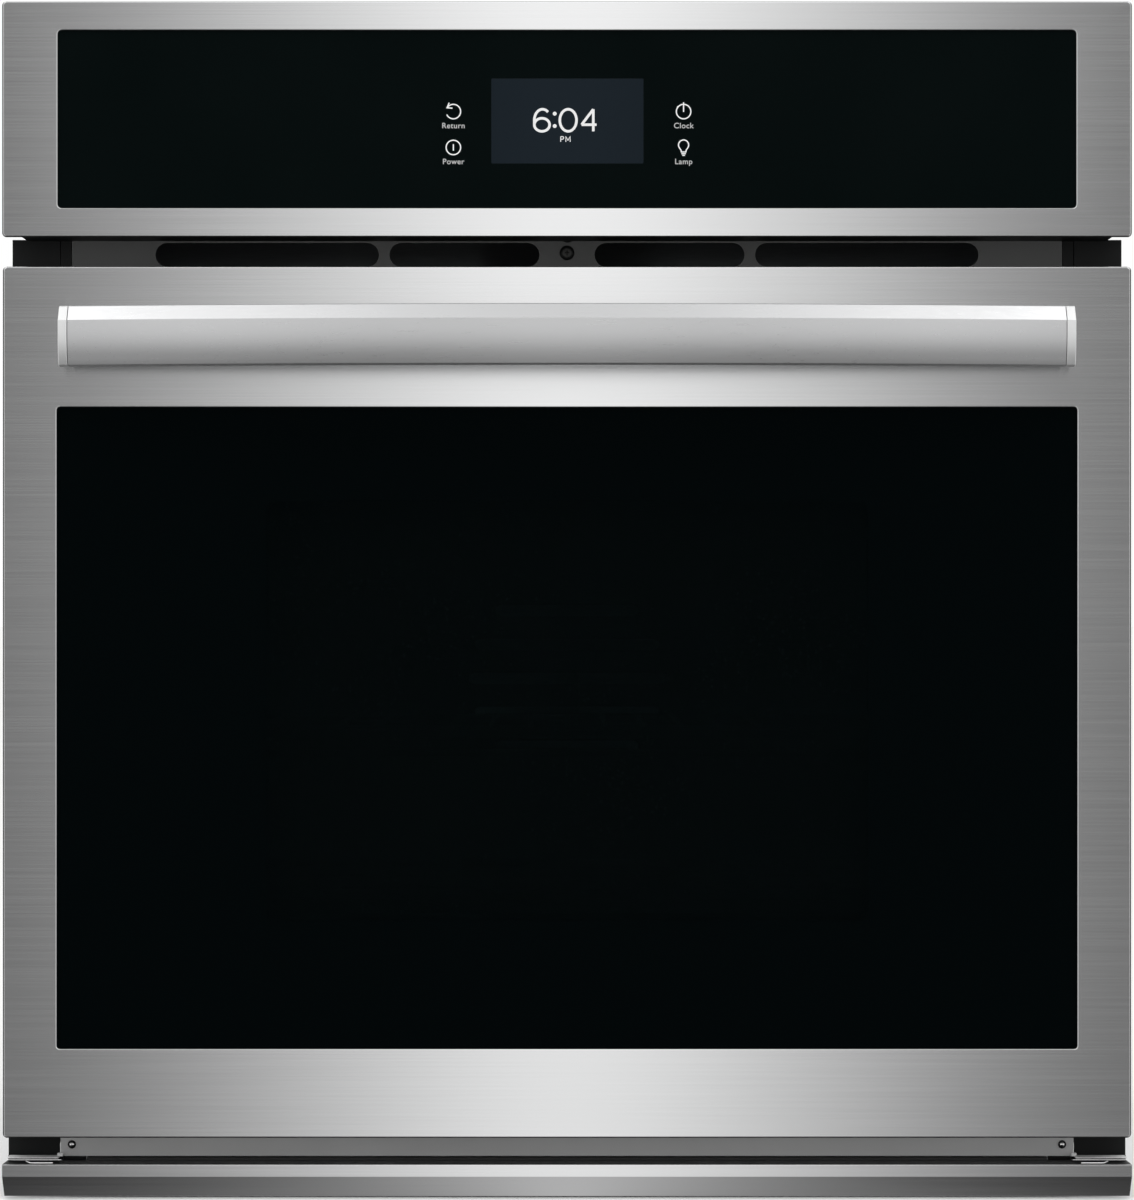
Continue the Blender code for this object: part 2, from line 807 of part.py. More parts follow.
def make_insulation():
    """The mineral wool blanket round the cavity, open where things pass through it."""
    blanket = box("insulation_wrap", (-0.306, 0.306), (0.044, 0.522), (0.044, 0.560), "mineral_wool")
    hollow = box("wrap_hollow", (-0.280, 0.280), (0.040, 0.498), (0.0675, 0.530))
    cuts = []
    for _, side in SIDES:
        cuts.append(box("wrap_hinge_cut", spread(side, 0.268, 0.310), (0.040, 0.100), (0.040, 0.082)))
    cuts.append(box("wrap_latch_cut", (-0.070, 0.095), (0.040, 0.125), (0.529, 0.565)))
    cuts.append(box("wrap_bake_cut", (-0.060, 0.060), (0.480, 0.530), (0.066, 0.086)))
    cuts.append(box("wrap_broil_cut", (-0.060, 0.060), (0.480, 0.530), (0.490, 0.520)))
    cuts.append(box("wrap_ring_cut", (-0.030, 0.030), (0.480, 0.530), (0.390, 0.420)))
    cuts.append(cylinder("wrap_shaft_cut", 0, 0.510, CAVITY_MID_Z, 0.0150, 0.060, "front"))
    cuts.append(cylinder("wrap_lamp_cut", LAMP[0], 0.510, LAMP[1], 0.0250, 0.060, "front"))
    cuts.append(cylinder("wrap_sensor_cut", SENSOR[0], 0.510, SENSOR[1], 0.0100, 0.060, "front"))
    cut(blanket, hollow, group("wrap_cuts", cuts))


def make_convection():
    mid_z = CAVITY_MID_Z
    half = CONVECTION_HALF
    cover_depth = (0.4660, CAVITY_REAR - GAP)
    cover = tray(
        "convection_cover",
        (-half, half),
        cover_depth,
        (mid_z - half, mid_z + half),
        0.0010,
        ["rear"],
        "enamel",
        corner=0.0150,
    )
    holes = []
    for row in range(-2, 3):
        reach = math.sqrt(0.070**2 - (0.024 * row) ** 2)
        z = mid_z + 0.024 * row
        outline = [stadium((-reach, reach), (z - 0.004, z + 0.004), 3)]
        holes.append(as_mesh(plate("intake_slot", "front", outline, 0.460, 0.010)))
    for row in range(-2, 3):
        z = mid_z + 0.045 * row
        reach = (-half - 0.005, half + 0.005)
        holes.append(box("outlet_slot", reach, (0.476, 0.488), (z - 0.015, z + 0.015)))
    cut(cover, group("convection_openings", holes))

    ring = [(-RING_LEG_X, 0.520, ring_leg_z()), (-RING_LEG_X, 0.492, ring_leg_z())]
    start = math.degrees(math.acos(-RING_LEG_X / ELEMENT_RING_R))
    for x, z in arc((0, mid_z), ELEMENT_RING_R, start + 1.5, start + 360 - 2 * (start - 90) - 1.5, 24):
        ring.append((x, 0.484, z))
    ring += [(RING_LEG_X, 0.492, ring_leg_z()), (RING_LEG_X, 0.520, ring_leg_z())]
    tube("convection_element", ring, ELEMENT_R, "heater")

    plate_depth = 0.5245
    outline = rectangle((-0.055, 0.055), (mid_z - 0.055, mid_z + 0.055))
    hole = circle((0, mid_z), 0.0050)
    motor = as_mesh(
        plate("convection_motor", "front", [outline, hole], plate_depth, 0.002, "spring_steel")
    )
    can = cylinder("convection_motor_can", 0, 0.5625, mid_z, 0.0320, 0.0550, "front", 20)
    posts = []
    for x in (-0.022, 0.022):
        for z in (-0.018, 0.018):
            posts.append(cylinder("motor_post", x, 0.5320, mid_z + z, 0.004, 0.014, "front", 8))
    bore = cylinder("convection_motor_bore", 0, 0.5400, mid_z, 0.0034, 0.0160, "front", 12)
    join(motor, group("convection_motor_posts", posts), can)
    cut(motor, bore)

    # Heights in this profile run from the shaft's rear end towards the front
    tip = 0.0710
    hub = [
        (0, tip),
        (0.0060, tip),
        (0.0080, tip - 0.003),
        (0.0080, tip - 0.013),
        (0.0720, tip - 0.0145),
        (0.0720, tip - 0.0155),
        (0.0030, tip - 0.0155),
        (0.0030, 0),
        (0, 0),
    ]
    fan = turned("convection_fan", hub, 0, 0.5450, mid_z, "front", 24, "galvanised")
    blades = []
    blade_count = 7
    blade_size = Vector((0.0580, 0.0120, 0.0010))
    for i in range(blade_count):
        angle = 2 * math.pi * i / blade_count
        blade = place("fan_blade", mesh_from("fan_blade", box_mesh(blade_size)), None)
        reach = 0.0420
        y = at(0.4840)
        blade.location = (reach * math.cos(angle), y, mid_z + reach * math.sin(angle))
        blade.rotation_euler = (0, -angle - math.radians(12), 0)
        blades.append(blade)
    join(fan, group("fan_blades", blades))


def serpentine(leg_x, z, half, front, turn, back, rear):
    """A heating element's route: in at the rear on the left, to and fro, out on the right."""
    inner = half * 0.58
    core = half * 0.18
    right = [
        (leg_x, rear),
        (leg_x, back),
        (half, back),
        (half, front),
        (inner, front),
        (inner, turn),
        (core, turn),
        (core, front),
    ]
    left = [(-x, depth) for x, depth in right]
    corners = [(x, depth, z) for x, depth in left + right[::-1]]
    return rounded_path(corners, 0.018, 2)


def make_elements():
    broil = serpentine(BROIL_LEG_X, BROIL_Z, 0.186, 0.100, 0.360, 0.430, 0.530)
    tube("broil_element", broil, ELEMENT_R, "heater")
    bake = serpentine(BROIL_LEG_X, BAKE_Z, 0.186, 0.090, 0.350, 0.430, 0.530)
    tube("bake_element", bake, ELEMENT_R, "heater")


def make_sensor_and_lamp():
    probe = [
        (0, 0.1200),
        (0.0022, 0.1180),
        (0.0030, 0.1150),
        (0.0030, 0.0265),
        (0.0080, 0.0265),
        (0.0080, 0.0245),
        (0.0030, 0.0245),
        (0.0030, 0),
        (0, 0),
    ]
    x, z = SENSOR
    turned("temperature_sensor", probe, x, 0.5200, z, "front", 12, "rack_wire")
    dome = [
        (0, 0.0115),
        (0.0080, 0.0108),
        (0.0150, 0.0085),
        (0.0190, 0.0045),
        (0.0210, 0.0020),
        (0.0210, 0),
        (0, 0),
    ]
    x, z = LAMP
    turned("lamp_lens", dome, x, 0.4955, z, "front", 24, "clear_glass")
    can = [
        (0, 0.0372),
        (0.0190, 0.0372),
        (0.0190, 0.0080),
        (0.0120, 0.0060),
        (0.0120, 0),
        (0, 0),
    ]
    housing = turned("lamp_housing", can, x, 0.5350, z, "front", 16, "white_ceramic")
    socket = cylinder("lamp_socket", x, 0.5100, z, 0.0165, 0.0300, "front", 16)
    cut(housing, socket)


def make_gasket():
    """A round braided seal on the cavity's front frame."""
    depth = CAVITY_FRONT - GAP - 0.00515
    corners = [
        (-0.2895, depth, 0.0765),
        (0.2895, depth, 0.0765),
        (0.2895, depth, 0.5385),
        (-0.2895, depth, 0.5385),
    ]
    path = rounded_path(corners, 0.0200, 4, closed=True)
    tube("door_gasket", path, 0.00515, "gasket_braid", fineness=2, closed=True)


def make_latch_and_switch():
    deck_z = 0.5562
    bracket = box(
        "latch_bracket", (-0.055, 0.085), (0.0430, 0.1180), (deck_z, deck_z + 0.0015), "galvanised"
    )
    motor = box("latch_motor", (-0.048, -0.020), (0.0780, 0.1120), (0.5335, deck_z + 0.0007))
    pin_low = 0.5465
    pin_length = deck_z + 0.0007 - pin_low
    pin = cylinder(
        "latch_pin", LATCH_X, LATCH_DEPTH, pin_low + pin_length / 2, 0.0025, pin_length, sides=12
    )
    join(bracket, motor, pin)

    hook_outline = [
        (0.0290, 0.0040),
        (0, 0.0065),
        (-0.0055, 0.0033),
        (-0.0055, -0.0033),
        (0, -0.0065),
        (0.0290, -0.0045),
        (0.0330, -0.0095),
        (0.0380, -0.0085),
        (0.0380, 0.0030),
    ]
    outline = [(LATCH_X + along, LATCH_DEPTH - across) for along, across in hook_outline]
    eye = circle((LATCH_X, LATCH_DEPTH), 0.0029)
    plate("latch_hook", "flat", [outline, eye], LATCH_Z - 0.0015, 0.0030, "spring_steel")

    body_x = (SWITCH_X - 0.0070, SWITCH_X + 0.0070)
    switch = box("door_switch", body_x, (0.0460, 0.0750), (0.5435, 0.5559), "dark_plastic")
    bore = cylinder("switch_bore", SWITCH_X, 0.0550, LATCH_Z, 0.0034, 0.0260, "front", 12)
    cut(switch, bore)
    push_rod = [
        (0, 0.0276),
        (0.0018, 0.0274),
        (0.0030, 0.0262),
        (0.0030, 0),
        (0, 0),
    ]
    turned("door_switch_plunger", push_rod, SWITCH_X, 0.0580, LATCH_Z, "front", 12, "white_ceramic")


def make_hinges():
    for label, side in SIDES:
        tray(
            label + "_hinge_receiver",
            spread(side, HINGE_X - 0.0080, HINGE_X + 0.0080),
            (0.0428, 0.0830),
            (0.0405, 0.0715),
            HEAVY_SHEET,
            ["front"],
            "galvanised",
        )
        boss = arc((PIVOT_DEPTH, PIVOT_Z), 0.0070, 90, 270, 8)
        tail = [
            (0.0300, 0.0460),
            (0.0780, 0.0460),
            (0.0780, 0.0560),
            (0.0740, 0.0620),
            (0.0300, 0.0620),
        ]
        eye = circle((PIVOT_DEPTH, PIVOT_Z), 0.0033)
        near = side * HINGE_X - 0.0025
        plate(label + "_hinge_arm", "side", [boss + tail, eye], near, 0.0050, "spring_steel")

        channel = tray(
            label + "_hinge_body",
            spread(side, HINGE_X - 0.0075, HINGE_X + 0.0075),
            (0.0060, 0.0285),
            (0.0415, 0.2350),
            HEAVY_SHEET,
            ["rear", "bottom"],
            "galvanised",
        )
        pin = cylinder(
            label + "_hinge_pin", side * HINGE_X, PIVOT_DEPTH, PIVOT_Z, 0.0030, 0.0140, "right", 12
        )
        join(channel, pin)
        make_spring(label + "_hinge_spring", side * HINGE_X)


def make_spring(name, x):
    low = 0.0750
    high = 0.2150
    coils = 9
    steps = 7
    points = []
    for i in range(coils * steps + 1):
        angle = 2 * math.pi * i / steps
        z = low + (high - low) * i / (coils * steps)
        points.append((x + 0.0042 * math.cos(angle), 0.0175 + 0.0042 * math.sin(angle), z))
    tube(name, points, 0.0010, "spring_steel", fineness=1)


def make_rack(name, z):
    half = 0.2705
    front = 0.0730
    rear = 0.4550
    corners = [(-half, front, z), (half, front, z), (half, rear, z), (-half, rear, z)]
    rim = as_mesh(
        tube(name, rounded_path(corners, 0.0150, 3, True), RACK_RIM_R, "rack_wire", 1, True)
    )
    rods = []
    rod_count = 11
    for i in range(rod_count):
        x = -0.240 + 0.480 * i / (rod_count - 1)
        rods.append(tube("rod", [(x, front, z + 0.0026), (x, rear, z + 0.0026)], 0.0018, None, 1))
    bars = []
    for depth in (0.200, 0.330):
        bars.append(tube("bar", [(-half, depth, z - 0.0004), (half, depth, z - 0.0004)], 0.0024))
    drop = 0.0120
    rail = [
        (-0.200, front + 0.0005, z),
        (-0.200, front + 0.0005, z - drop),
        (0.200, front + 0.0005, z - drop),
        (0.200, front + 0.0005, z),
    ]
    bars.append(tube("lower_rail", rounded_path(rail, 0.006, 2), 0.0022))
    join(rim, group(name + "_bars", bars), group(name + "_rods", rods))


# ---- Door


def make_door_shell():
    frame = tray(
        "door_frame",
        (-DOOR_HALF, DOOR_HALF),
        (0, DOOR_REAR),
        (DOOR_BOTTOM, DOOR_TOP),
        SHEET,
        ["rear"],
        "stainless",
        corner=0.0025,
    )
    window = box("door_window", DOOR_WINDOW[0], (-0.005, 0.010), DOOR_WINDOW[1], corner=0.0020)
    slanted = [(0.0220, 0.0300), (0.0360, 0.0300), (0.0360, 0.0502), (0.0220, DOOR_BOTTOM)]
    heel = as_mesh(plate("door_heel", "side", [slanted], -0.36, 0.72))
    notches = []
    for _, side in SIDES:
        reach = spread(side, HINGE_X - 0.0055, HINGE_X + 0.0055)
        notches.append(box("hinge_notch", reach, (0.0085, 0.0340), (0.0340, 0.0400)))
    slots = []
    for column in range(-4, 5):
        x = 0.060 * column
        slots.append(box("door_vent", (x - 0.020, x + 0.020), (0.012, 0.018), (0.560, 0.570)))
    cut(frame, window, heel, group("hinge_notches", notches), group("door_vents", slots))


def make_liner():
    """The door's inner sheet: a flange, with a plug that stands into the cavity's mouth."""
    near = 0.0288
    outline = rectangle((-0.3405, 0.3405), (0.0445, 0.5635))
    plug = rectangle((-0.2608, 0.2608), (0.1092, 0.5108))
    slot = rectangle((-0.0220, 0.0360), (0.5455, 0.5535))
    flange = as_mesh(plate("door_liner", "front", [outline, plug, slot], near, SHEET, "enamel"))
    plug_tray = tray(
        "liner_plug", (-0.262, 0.262), (near + 0.0004, 0.040), (0.108, 0.512), SHEET, ["front"]
    )
    window = box("liner_window", (-0.190, 0.190), (0.035, 0.045), (0.161, 0.431), corner=0.010)
    notches = []
    for _, side in SIDES:
        reach = spread(side, HINGE_X - 0.0055, HINGE_X + 0.0055)
        notches.append(box("liner_notch", reach, (0.020, 0.034), (0.040, 0.0635)))
    join(flange, plug_tray)
    cut(flange, window, group("liner_notches", notches))


def make_glazing():
    glass_near = SHEET + GAP
    outer_depth = (glass_near, glass_near + 0.0040)
    box("door_outer_glass", (-0.318, 0.318), outer_depth, (0.083, 0.489), "black_glass")
    pane_z = (0.151, 0.441)
    box("door_middle_glass", (-0.200, 0.200), (0.0200, 0.0235), pane_z, "clear_glass")
    box("door_inner_glass", (-0.200, 0.200), (0.0343, 0.0383), pane_z, "clear_glass")
    outline = rectangle((-0.207, 0.207), (0.144, 0.448))
    opening = rectangle((-0.193, 0.193), (0.158, 0.434))
    plate("window_pack_frame", "front", [outline, opening], 0.0238, 0.0102, "galvanised")
    outline = rectangle((-0.270, 0.270), (0.070, 0.532))
    opening = rectangle((-0.210, 0.210), (0.141, 0.451))
    plate("door_insulation", "front", [outline, opening], 0.0120, 0.0160, "mineral_wool")


# The handle's section: (distance behind the crease, height above the section's middle)
HANDLE_MID_Z = 0.5224
HANDLE_HALF = 0.3003
HANDLE_BOW = 0.0250
HANDLE_CREASE_Z = 0.0095
HANDLE_HALF_HEIGHT = 0.01845
HANDLE_BACK = 0.0140


def handle_section():
    """A faceted section: a sloping top facet, a crease, and a front that curves back below."""
    low = -HANDLE_HALF_HEIGHT
    points = [(HANDLE_BACK, HANDLE_HALF_HEIGHT - 0.0015), (0.0090, HANDLE_HALF_HEIGHT)]
    points += [(0.0076, HANDLE_HALF_HEIGHT - 0.0004), (0, HANDLE_CREASE_Z)]
    front_steps = 5
    for i in range(1, front_steps + 1):
        fall = i / front_steps
        points.append((0.0070 * fall**2.2, HANDLE_CREASE_Z + (low + 0.001 - HANDLE_CREASE_Z) * fall))
    points += [(0.0085, low), (HANDLE_BACK, low + 0.0015)]
    return points


def make_handle():
    """The section is swept along a wide arc that bows forward, and its ends are cut square."""
    radius = (HANDLE_HALF**2 + HANDLE_BOW**2) / (2 * HANDLE_BOW)
    pivot = Vector((0, FACE_Y - HANDLE_REACH + radius, 0))
    swing = 1.02 * math.asin(HANDLE_HALF / radius)
    build = bmesh.new()
    ring = []
    for behind, above in handle_section():
        ring.append(build.verts.new((0, FACE_Y - HANDLE_REACH + behind, HANDLE_MID_Z + above)))
    edges = [build.edges.new((ring[i - 1], ring[i])) for i in range(len(ring))]
    start = Matrix.Translation(pivot) @ Matrix.Rotation(-swing, 4, "Z") @ Matrix.Translation(-pivot)
    bmesh.ops.transform(build, matrix=start, verts=build.verts)
    bmesh.ops.spin(
        build, geom=ring + edges, cent=pivot, axis=(0, 0, 1), angle=2 * swing, steps=16
    )
    for side in (-1, 1):
        everything = build.verts[:] + build.edges[:] + build.faces[:]
        bmesh.ops.bisect_plane(
            build,
            geom=everything,
            plane_co=(side * HANDLE_HALF, 0, 0),
            plane_no=(side, 0, 0),
            clear_outer=True,
        )
    bmesh.ops.remove_doubles(build, verts=build.verts, dist=1e-6)
    open_edges = [edge for edge in build.edges if edge.is_boundary]
    bmesh.ops.holes_fill(build, edges=open_edges)
    bmesh.ops.recalc_face_normals(build, faces=build.faces)
    mesh = mesh_from("handle_bar", build)
    smooth(mesh, 25)
    place("handle_bar", mesh, "stainless")
    make_handle_mounts()


def make_handle_mounts():
    """An end cap at each end of the bar, standing on the door, with a post behind the bar."""
    end_reach = HANDLE_REACH - HANDLE_BOW
    back = end_reach - HANDLE_BACK
    for label, side in SIDES:
        low = HANDLE_MID_Z - HANDLE_HALF_HEIGHT
        high = HANDLE_MID_Z + HANDLE_HALF_HEIGHT
        outline = [(-GAP, low + 0.002), (-GAP, high - 0.001)]
        for behind, above in handle_section()[1:-1]:
            outline.append((behind - end_reach, HANDLE_MID_Z + above))
        cap_x = spread(side, HANDLE_HALF + GAP, HANDLE_HALF + GAP + 0.0055)
        cap = plate(label + "_handle_mount", "side", [outline], cap_x[0], 0.0055, "stainless")
        cap = as_mesh(cap)
        post_x = spread(side, 0.2750, HANDLE_HALF + GAP + 0.0010)
        post = box(label + "_handle_post", post_x, (GAP - back, -GAP), (low + 0.004, high - 0.003))
        join(cap, post)


# ---- Joints: each moving piece hangs from an empty on its joint's axis


def axis_empty(name, x, depth, z, pieces):
    empty = bpy.data.objects.new(name, None)
    empty.location = (x, at(depth), z)
    empty.empty_display_size = 0.05
    PARTS.objects.link(empty)
    for piece_name in pieces:
        piece = bpy.data.objects[piece_name]
        piece.parent = empty
        piece.matrix_parent_inverse = Matrix.Translation(-Vector(empty.location))


def hang_on_joints():
    door = ["door_frame", "door_outer_glass", "door_liner", "door_inner_glass"]
    door += ["door_middle_glass", "window_pack_frame", "door_insulation", "handle_bar"]
    for label, _ in SIDES:
        door += [label + "_hinge_body", label + "_hinge_spring", label + "_handle_mount"]
    axis_empty("door_hinge_axis", 0, PIVOT_DEPTH, PIVOT_Z, door)
    axis_empty("upper_rack_axis", 0, 0.2640, UPPER_RACK_Z, ["upper_rack"])
    axis_empty("lower_rack_axis", 0, 0.2640, LOWER_RACK_Z, ["lower_rack"])
    axis_empty("convection_fan_axis", 0, 0.4840, CAVITY_MID_Z, ["convection_fan"])
    axis_empty("blower_axis", 0, BLOWER_DEPTH, 0.5885, ["blower_wheel"])
    axis_empty("latch_axis", LATCH_X, LATCH_DEPTH, LATCH_Z, ["latch_hook"])
    axis_empty("switch_axis", SWITCH_X, 0.0304, LATCH_Z, ["door_switch_plunger"])


make_chassis()
make_component_tray()
make_mounting_flanges()
make_lower_front()
make_vent()
make_control_panel()
make_rear_and_electrics()
make_blower()
make_cavity()
make_insulation()
make_convection()
make_elements()
make_sensor_and_lamp()
make_gasket()
make_latch_and_switch()
make_hinges()
make_rack("upper_rack", UPPER_RACK_Z)
make_rack("lower_rack", LOWER_RACK_Z)
make_door_shell()
make_liner()
make_glazing()
make_handle()
hang_on_joints()
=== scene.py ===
"""The looks of a built-in wall oven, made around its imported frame.

Units are metres. +X is to the right as one faces the door, the front faces -Y and +Z is up.
Depths are measured from the door's front face towards the rear.
"""

import math

import bmesh
import bpy
from mathutils import Matrix, Vector, noise


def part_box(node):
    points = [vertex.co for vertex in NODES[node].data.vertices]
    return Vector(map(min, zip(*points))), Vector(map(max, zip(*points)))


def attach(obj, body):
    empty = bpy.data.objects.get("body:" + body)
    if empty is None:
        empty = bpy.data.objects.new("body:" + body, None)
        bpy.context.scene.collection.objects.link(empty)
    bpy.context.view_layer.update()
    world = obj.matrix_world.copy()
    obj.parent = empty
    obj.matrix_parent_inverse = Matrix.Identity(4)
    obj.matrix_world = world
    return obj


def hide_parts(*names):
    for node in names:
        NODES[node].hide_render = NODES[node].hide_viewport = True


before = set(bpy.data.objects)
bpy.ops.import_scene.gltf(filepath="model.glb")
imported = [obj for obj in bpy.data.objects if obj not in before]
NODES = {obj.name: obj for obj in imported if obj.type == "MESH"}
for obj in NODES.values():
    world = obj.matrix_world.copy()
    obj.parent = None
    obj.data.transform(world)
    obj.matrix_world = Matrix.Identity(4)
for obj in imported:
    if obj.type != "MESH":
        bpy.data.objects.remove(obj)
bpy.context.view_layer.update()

SCENE = bpy.context.scene
FACE_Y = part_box("door_frame")[0].y
SIDES = (("left", -1), ("right", 1))
SHEET = 0.0012
FIT = 0.0003
FULL_TURN = 2 * math.pi


def at(depth):
    """The Y coordinate of a depth behind the door's front face."""
    return FACE_Y + depth


# ---- Camera, world, floor and light

CAMERA_DISTANCE = 2.8
CAMERA_Z = 0.3635
VIEW_HEIGHT = 0.7283
SENSOR = 36.0


def make_camera():
    lens = bpy.data.cameras.new("camera")
    lens.sensor_width = SENSOR
    lens.lens = SENSOR * CAMERA_DISTANCE / VIEW_HEIGHT
    lens.clip_start = 0.05
    lens.clip_end = 100.0
    camera = bpy.data.objects.new("camera", lens)
    camera.location = (0, FACE_Y - CAMERA_DISTANCE, CAMERA_Z)
    camera.rotation_euler = (math.pi / 2, 0, 0)
    SCENE.collection.objects.link(camera)
    SCENE.camera = camera


def feed(tree, node, inputs):
    """Gives each named input of a node its value, or links it to another node's output."""
    for key, value in inputs.items():
        if isinstance(value, bpy.types.NodeSocket):
            tree.links.new(value, node.inputs[key])
        else:
            node.inputs[key].default_value = value


def add(tree, kind, inputs=None, **settings):
    """A new shader node with its settings and inputs."""
    made = tree.nodes.new("ShaderNode" + kind)
    for name, value in settings.items():
        setattr(made, name, value)
    feed(tree, made, inputs or {})
    return made


def calc(tree, operation, first, second=0.0, third=0.0, clamp=False):
    node = add(tree, "Math", {0: first, 1: second, 2: third}, operation=operation, use_clamp=clamp)
    return node.outputs[0]


def product(tree, first, second, clamp=False):
    return calc(tree, "MULTIPLY", first, second, clamp=clamp)


def step_between(tree, value, start, end):
    """0 before start, 1 after end, and smooth in between."""
    inputs = {"Value": value, "From Min": start, "From Max": end}
    return add(tree, "MapRange", inputs, interpolation_type="SMOOTHSTEP").outputs["Result"]


def mixed(tree, factor, first, second):
    node = add(tree, "Mix", {0: factor, 2: first, 3: second}, data_type="FLOAT")
    return node.outputs[0]


def ramp(tree, factor, stops):
    """A ramp over (position, level or colour) stops."""
    node = add(tree, "ValToRGB", {"Fac": factor})
    elements = node.color_ramp.elements
    while len(elements) < len(stops):
        elements.new(0.5)
    for element, (position, level) in zip(elements, stops):
        element.position = position
        colour = level if isinstance(level, tuple) else (level, level, level)
        element.color = (*colour, 1.0)
    return node.outputs["Color"]


# The studio's brightness in front, by the sideways part of a direction: a bright panel
# behind the camera, dim gaps beside it and wide panels further out
FRONT_PEAK = 1.6
FRONT_STOPS = (
    (0.000, 1.450), (0.015, 1.360), (0.036, 1.110), (0.058, 0.850), (0.080, 0.580),
    (0.097, 0.415), (0.110, 0.335), (0.121, 0.260), (0.132, 0.220), (0.150, 0.320),
    (0.200, 0.850), (0.260, 1.050), (0.500, 0.980),
)
# And overhead, beside and behind, from the middle to straight sideways
AROUND_PEAK = 1.8
AROUND_STOPS = (
    (0.00, 1.05), (0.08, 1.15), (0.20, 1.60), (0.30, 1.70),
    (0.50, 1.20), (0.80, 0.90), (1.00, 0.85),
)
REAR_LEVEL = 0.65
# How fast it dims downwards in front, in the middle and further for each unit sideways
DIM_MIDDLE = 0.60
DIM_SIDEWAYS = 9.0
DIM_LIMIT = 0.09
HIGHEST_DIM = 0.35
CARD_LEVEL = 0.004
CARD_EDGE = (0.150, 0.210)


def make_world():
    world = bpy.data.worlds.new("studio")
    world.use_nodes = True
    tree = world.node_tree
    tree.nodes.clear()
    way = add(tree, "TexCoord").outputs["Generated"]
    parts = add(tree, "SeparateXYZ", {0: way})
    sideways = calc(tree, "ABSOLUTE", parts.outputs["X"])
    upward = parts.outputs["Z"]
    forward = product(tree, parts.outputs["Y"], -1.0)

    front_stops = [(2 * place, level / FRONT_PEAK) for place, level in FRONT_STOPS]
    front = ramp(tree, product(tree, sideways, 2.0, clamp=True), front_stops)
    dim = calc(tree, "MINIMUM", sideways, DIM_LIMIT)
    dim = calc(tree, "MULTIPLY_ADD", dim, DIM_SIDEWAYS, DIM_MIDDLE)
    fall = product(tree, dim, calc(tree, "MINIMUM", upward, HIGHEST_DIM))
    front = product(tree, product(tree, front, FRONT_PEAK), calc(tree, "EXPONENT", fall))

    around_stops = [(place, level / AROUND_PEAK) for place, level in AROUND_STOPS]
    around = product(tree, ramp(tree, sideways, around_stops), AROUND_PEAK)
    around = mixed(tree, step_between(tree, forward, -0.3, -0.7), around, REAR_LEVEL)

    faces_front = step_between(tree, forward, 0.35, 0.75)
    faces_down = step_between(tree, upward, -0.50, -0.80)
    level = mixed(tree, calc(tree, "MAXIMUM", faces_front, faces_down), around, front)

    # The studio behind the camera is dark to a mirror, such as flat glass, and to nothing else
    beside = step_between(tree, sideways, *CARD_EDGE)
    above = step_between(tree, calc(tree, "ABSOLUTE", upward), *CARD_EDGE)
    behind = step_between(tree, forward, 0.90, 0.80)
    card = calc(tree, "MAXIMUM", calc(tree, "MAXIMUM", beside, above), behind)
    card = calc(tree, "MULTIPLY_ADD", card, 1.0 - CARD_LEVEL, CARD_LEVEL)
    rays = add(tree, "LightPath")
    card = mixed(tree, rays.outputs["Is Singular Ray"], 1.0, card)

    level = mixed(tree, rays.outputs["Is Camera Ray"], product(tree, level, card), 1.0)
    colour = add(tree, "CombineColor", {0: level, 1: level, 2: level})
    light = add(tree, "Background", {"Color": colour.outputs["Color"]})
    add(tree, "OutputWorld", {"Surface": light.outputs["Background"]})
    SCENE.world = world
    SCENE.view_settings.view_transform = "Standard"


FLOOR_HALF = 60.0
FLOOR_DROP = 0.0006


def make_floor():
    build = bmesh.new()
    bmesh.ops.create_grid(build, x_segments=1, y_segments=1, size=FLOOR_HALF)
    mesh = mesh_from("floor", build)
    material, tree, shader = new_material("floor_paper")
    cloud = add(tree, "TexNoise", {"Scale": 3.0, "Detail": 3.0})
    colours(tree, shader, cloud.outputs["Fac"], 0.84, 0.87)
    feed(tree, shader, {"Roughness": 0.7})
    mesh.materials.append(material)
    floor = bpy.data.objects.new("floor", mesh)
    floor.location = (0, 0, -FLOOR_DROP)
    floor.visible_glossy = False
    SCENE.collection.objects.link(floor)


TOP_LIGHT_SIZE = (2.4, 1.2)
TOP_LIGHT_WATTS = 16.0
TOP_LIGHT_PLACE = (0, -1.1, 2.1)
TOP_LIGHT_TARGET = (0, -0.1, 0.4)


def make_top_light():
    data = bpy.data.lights.new("top_light", "AREA")
    data.shape = "RECTANGLE"
    data.size, data.size_y = TOP_LIGHT_SIZE
    data.energy = TOP_LIGHT_WATTS
    light = bpy.data.objects.new("top_light", data)
    light.location = TOP_LIGHT_PLACE
    aim = Vector(TOP_LIGHT_TARGET) - light.location
    light.rotation_euler = aim.to_track_quat("-Z", "Y").to_euler()
    light.visible_glossy = False
    SCENE.collection.objects.link(light)


# ---- Materials


def new_material(name):
    material = bpy.data.materials.new(name)
    material.use_nodes = True
    tree = material.node_tree
    return material, tree, tree.nodes["Principled BSDF"]


def object_point(tree, scale=(1, 1, 1)):
    """The place on the object, in metres, stretched by a scale in each direction."""
    here = add(tree, "TexCoord").outputs["Object"]
    return add(tree, "Mapping", {"Vector": here, "Scale": scale}).outputs["Vector"]


def object_axes(tree):
    """The X, Y and Z of the place on the object, in metres."""
    return add(tree, "SeparateXYZ", {0: object_point(tree)}).outputs


def noise_at(tree, point, scale=1.0, detail=2.0):
    node = add(tree, "TexNoise", {"Vector": point, "Scale": scale, "Detail": detail})
    return node.outputs["Fac"]


def between(tree, factor, low, high):
    """A number from low to high as the factor goes from 0.3 to 0.7, where noise mostly lies."""
    inputs = {"Value": factor, "From Min": 0.3, "From Max": 0.7, "To Min": low, "To Max": high}
    return add(tree, "MapRange", inputs).outputs["Result"]


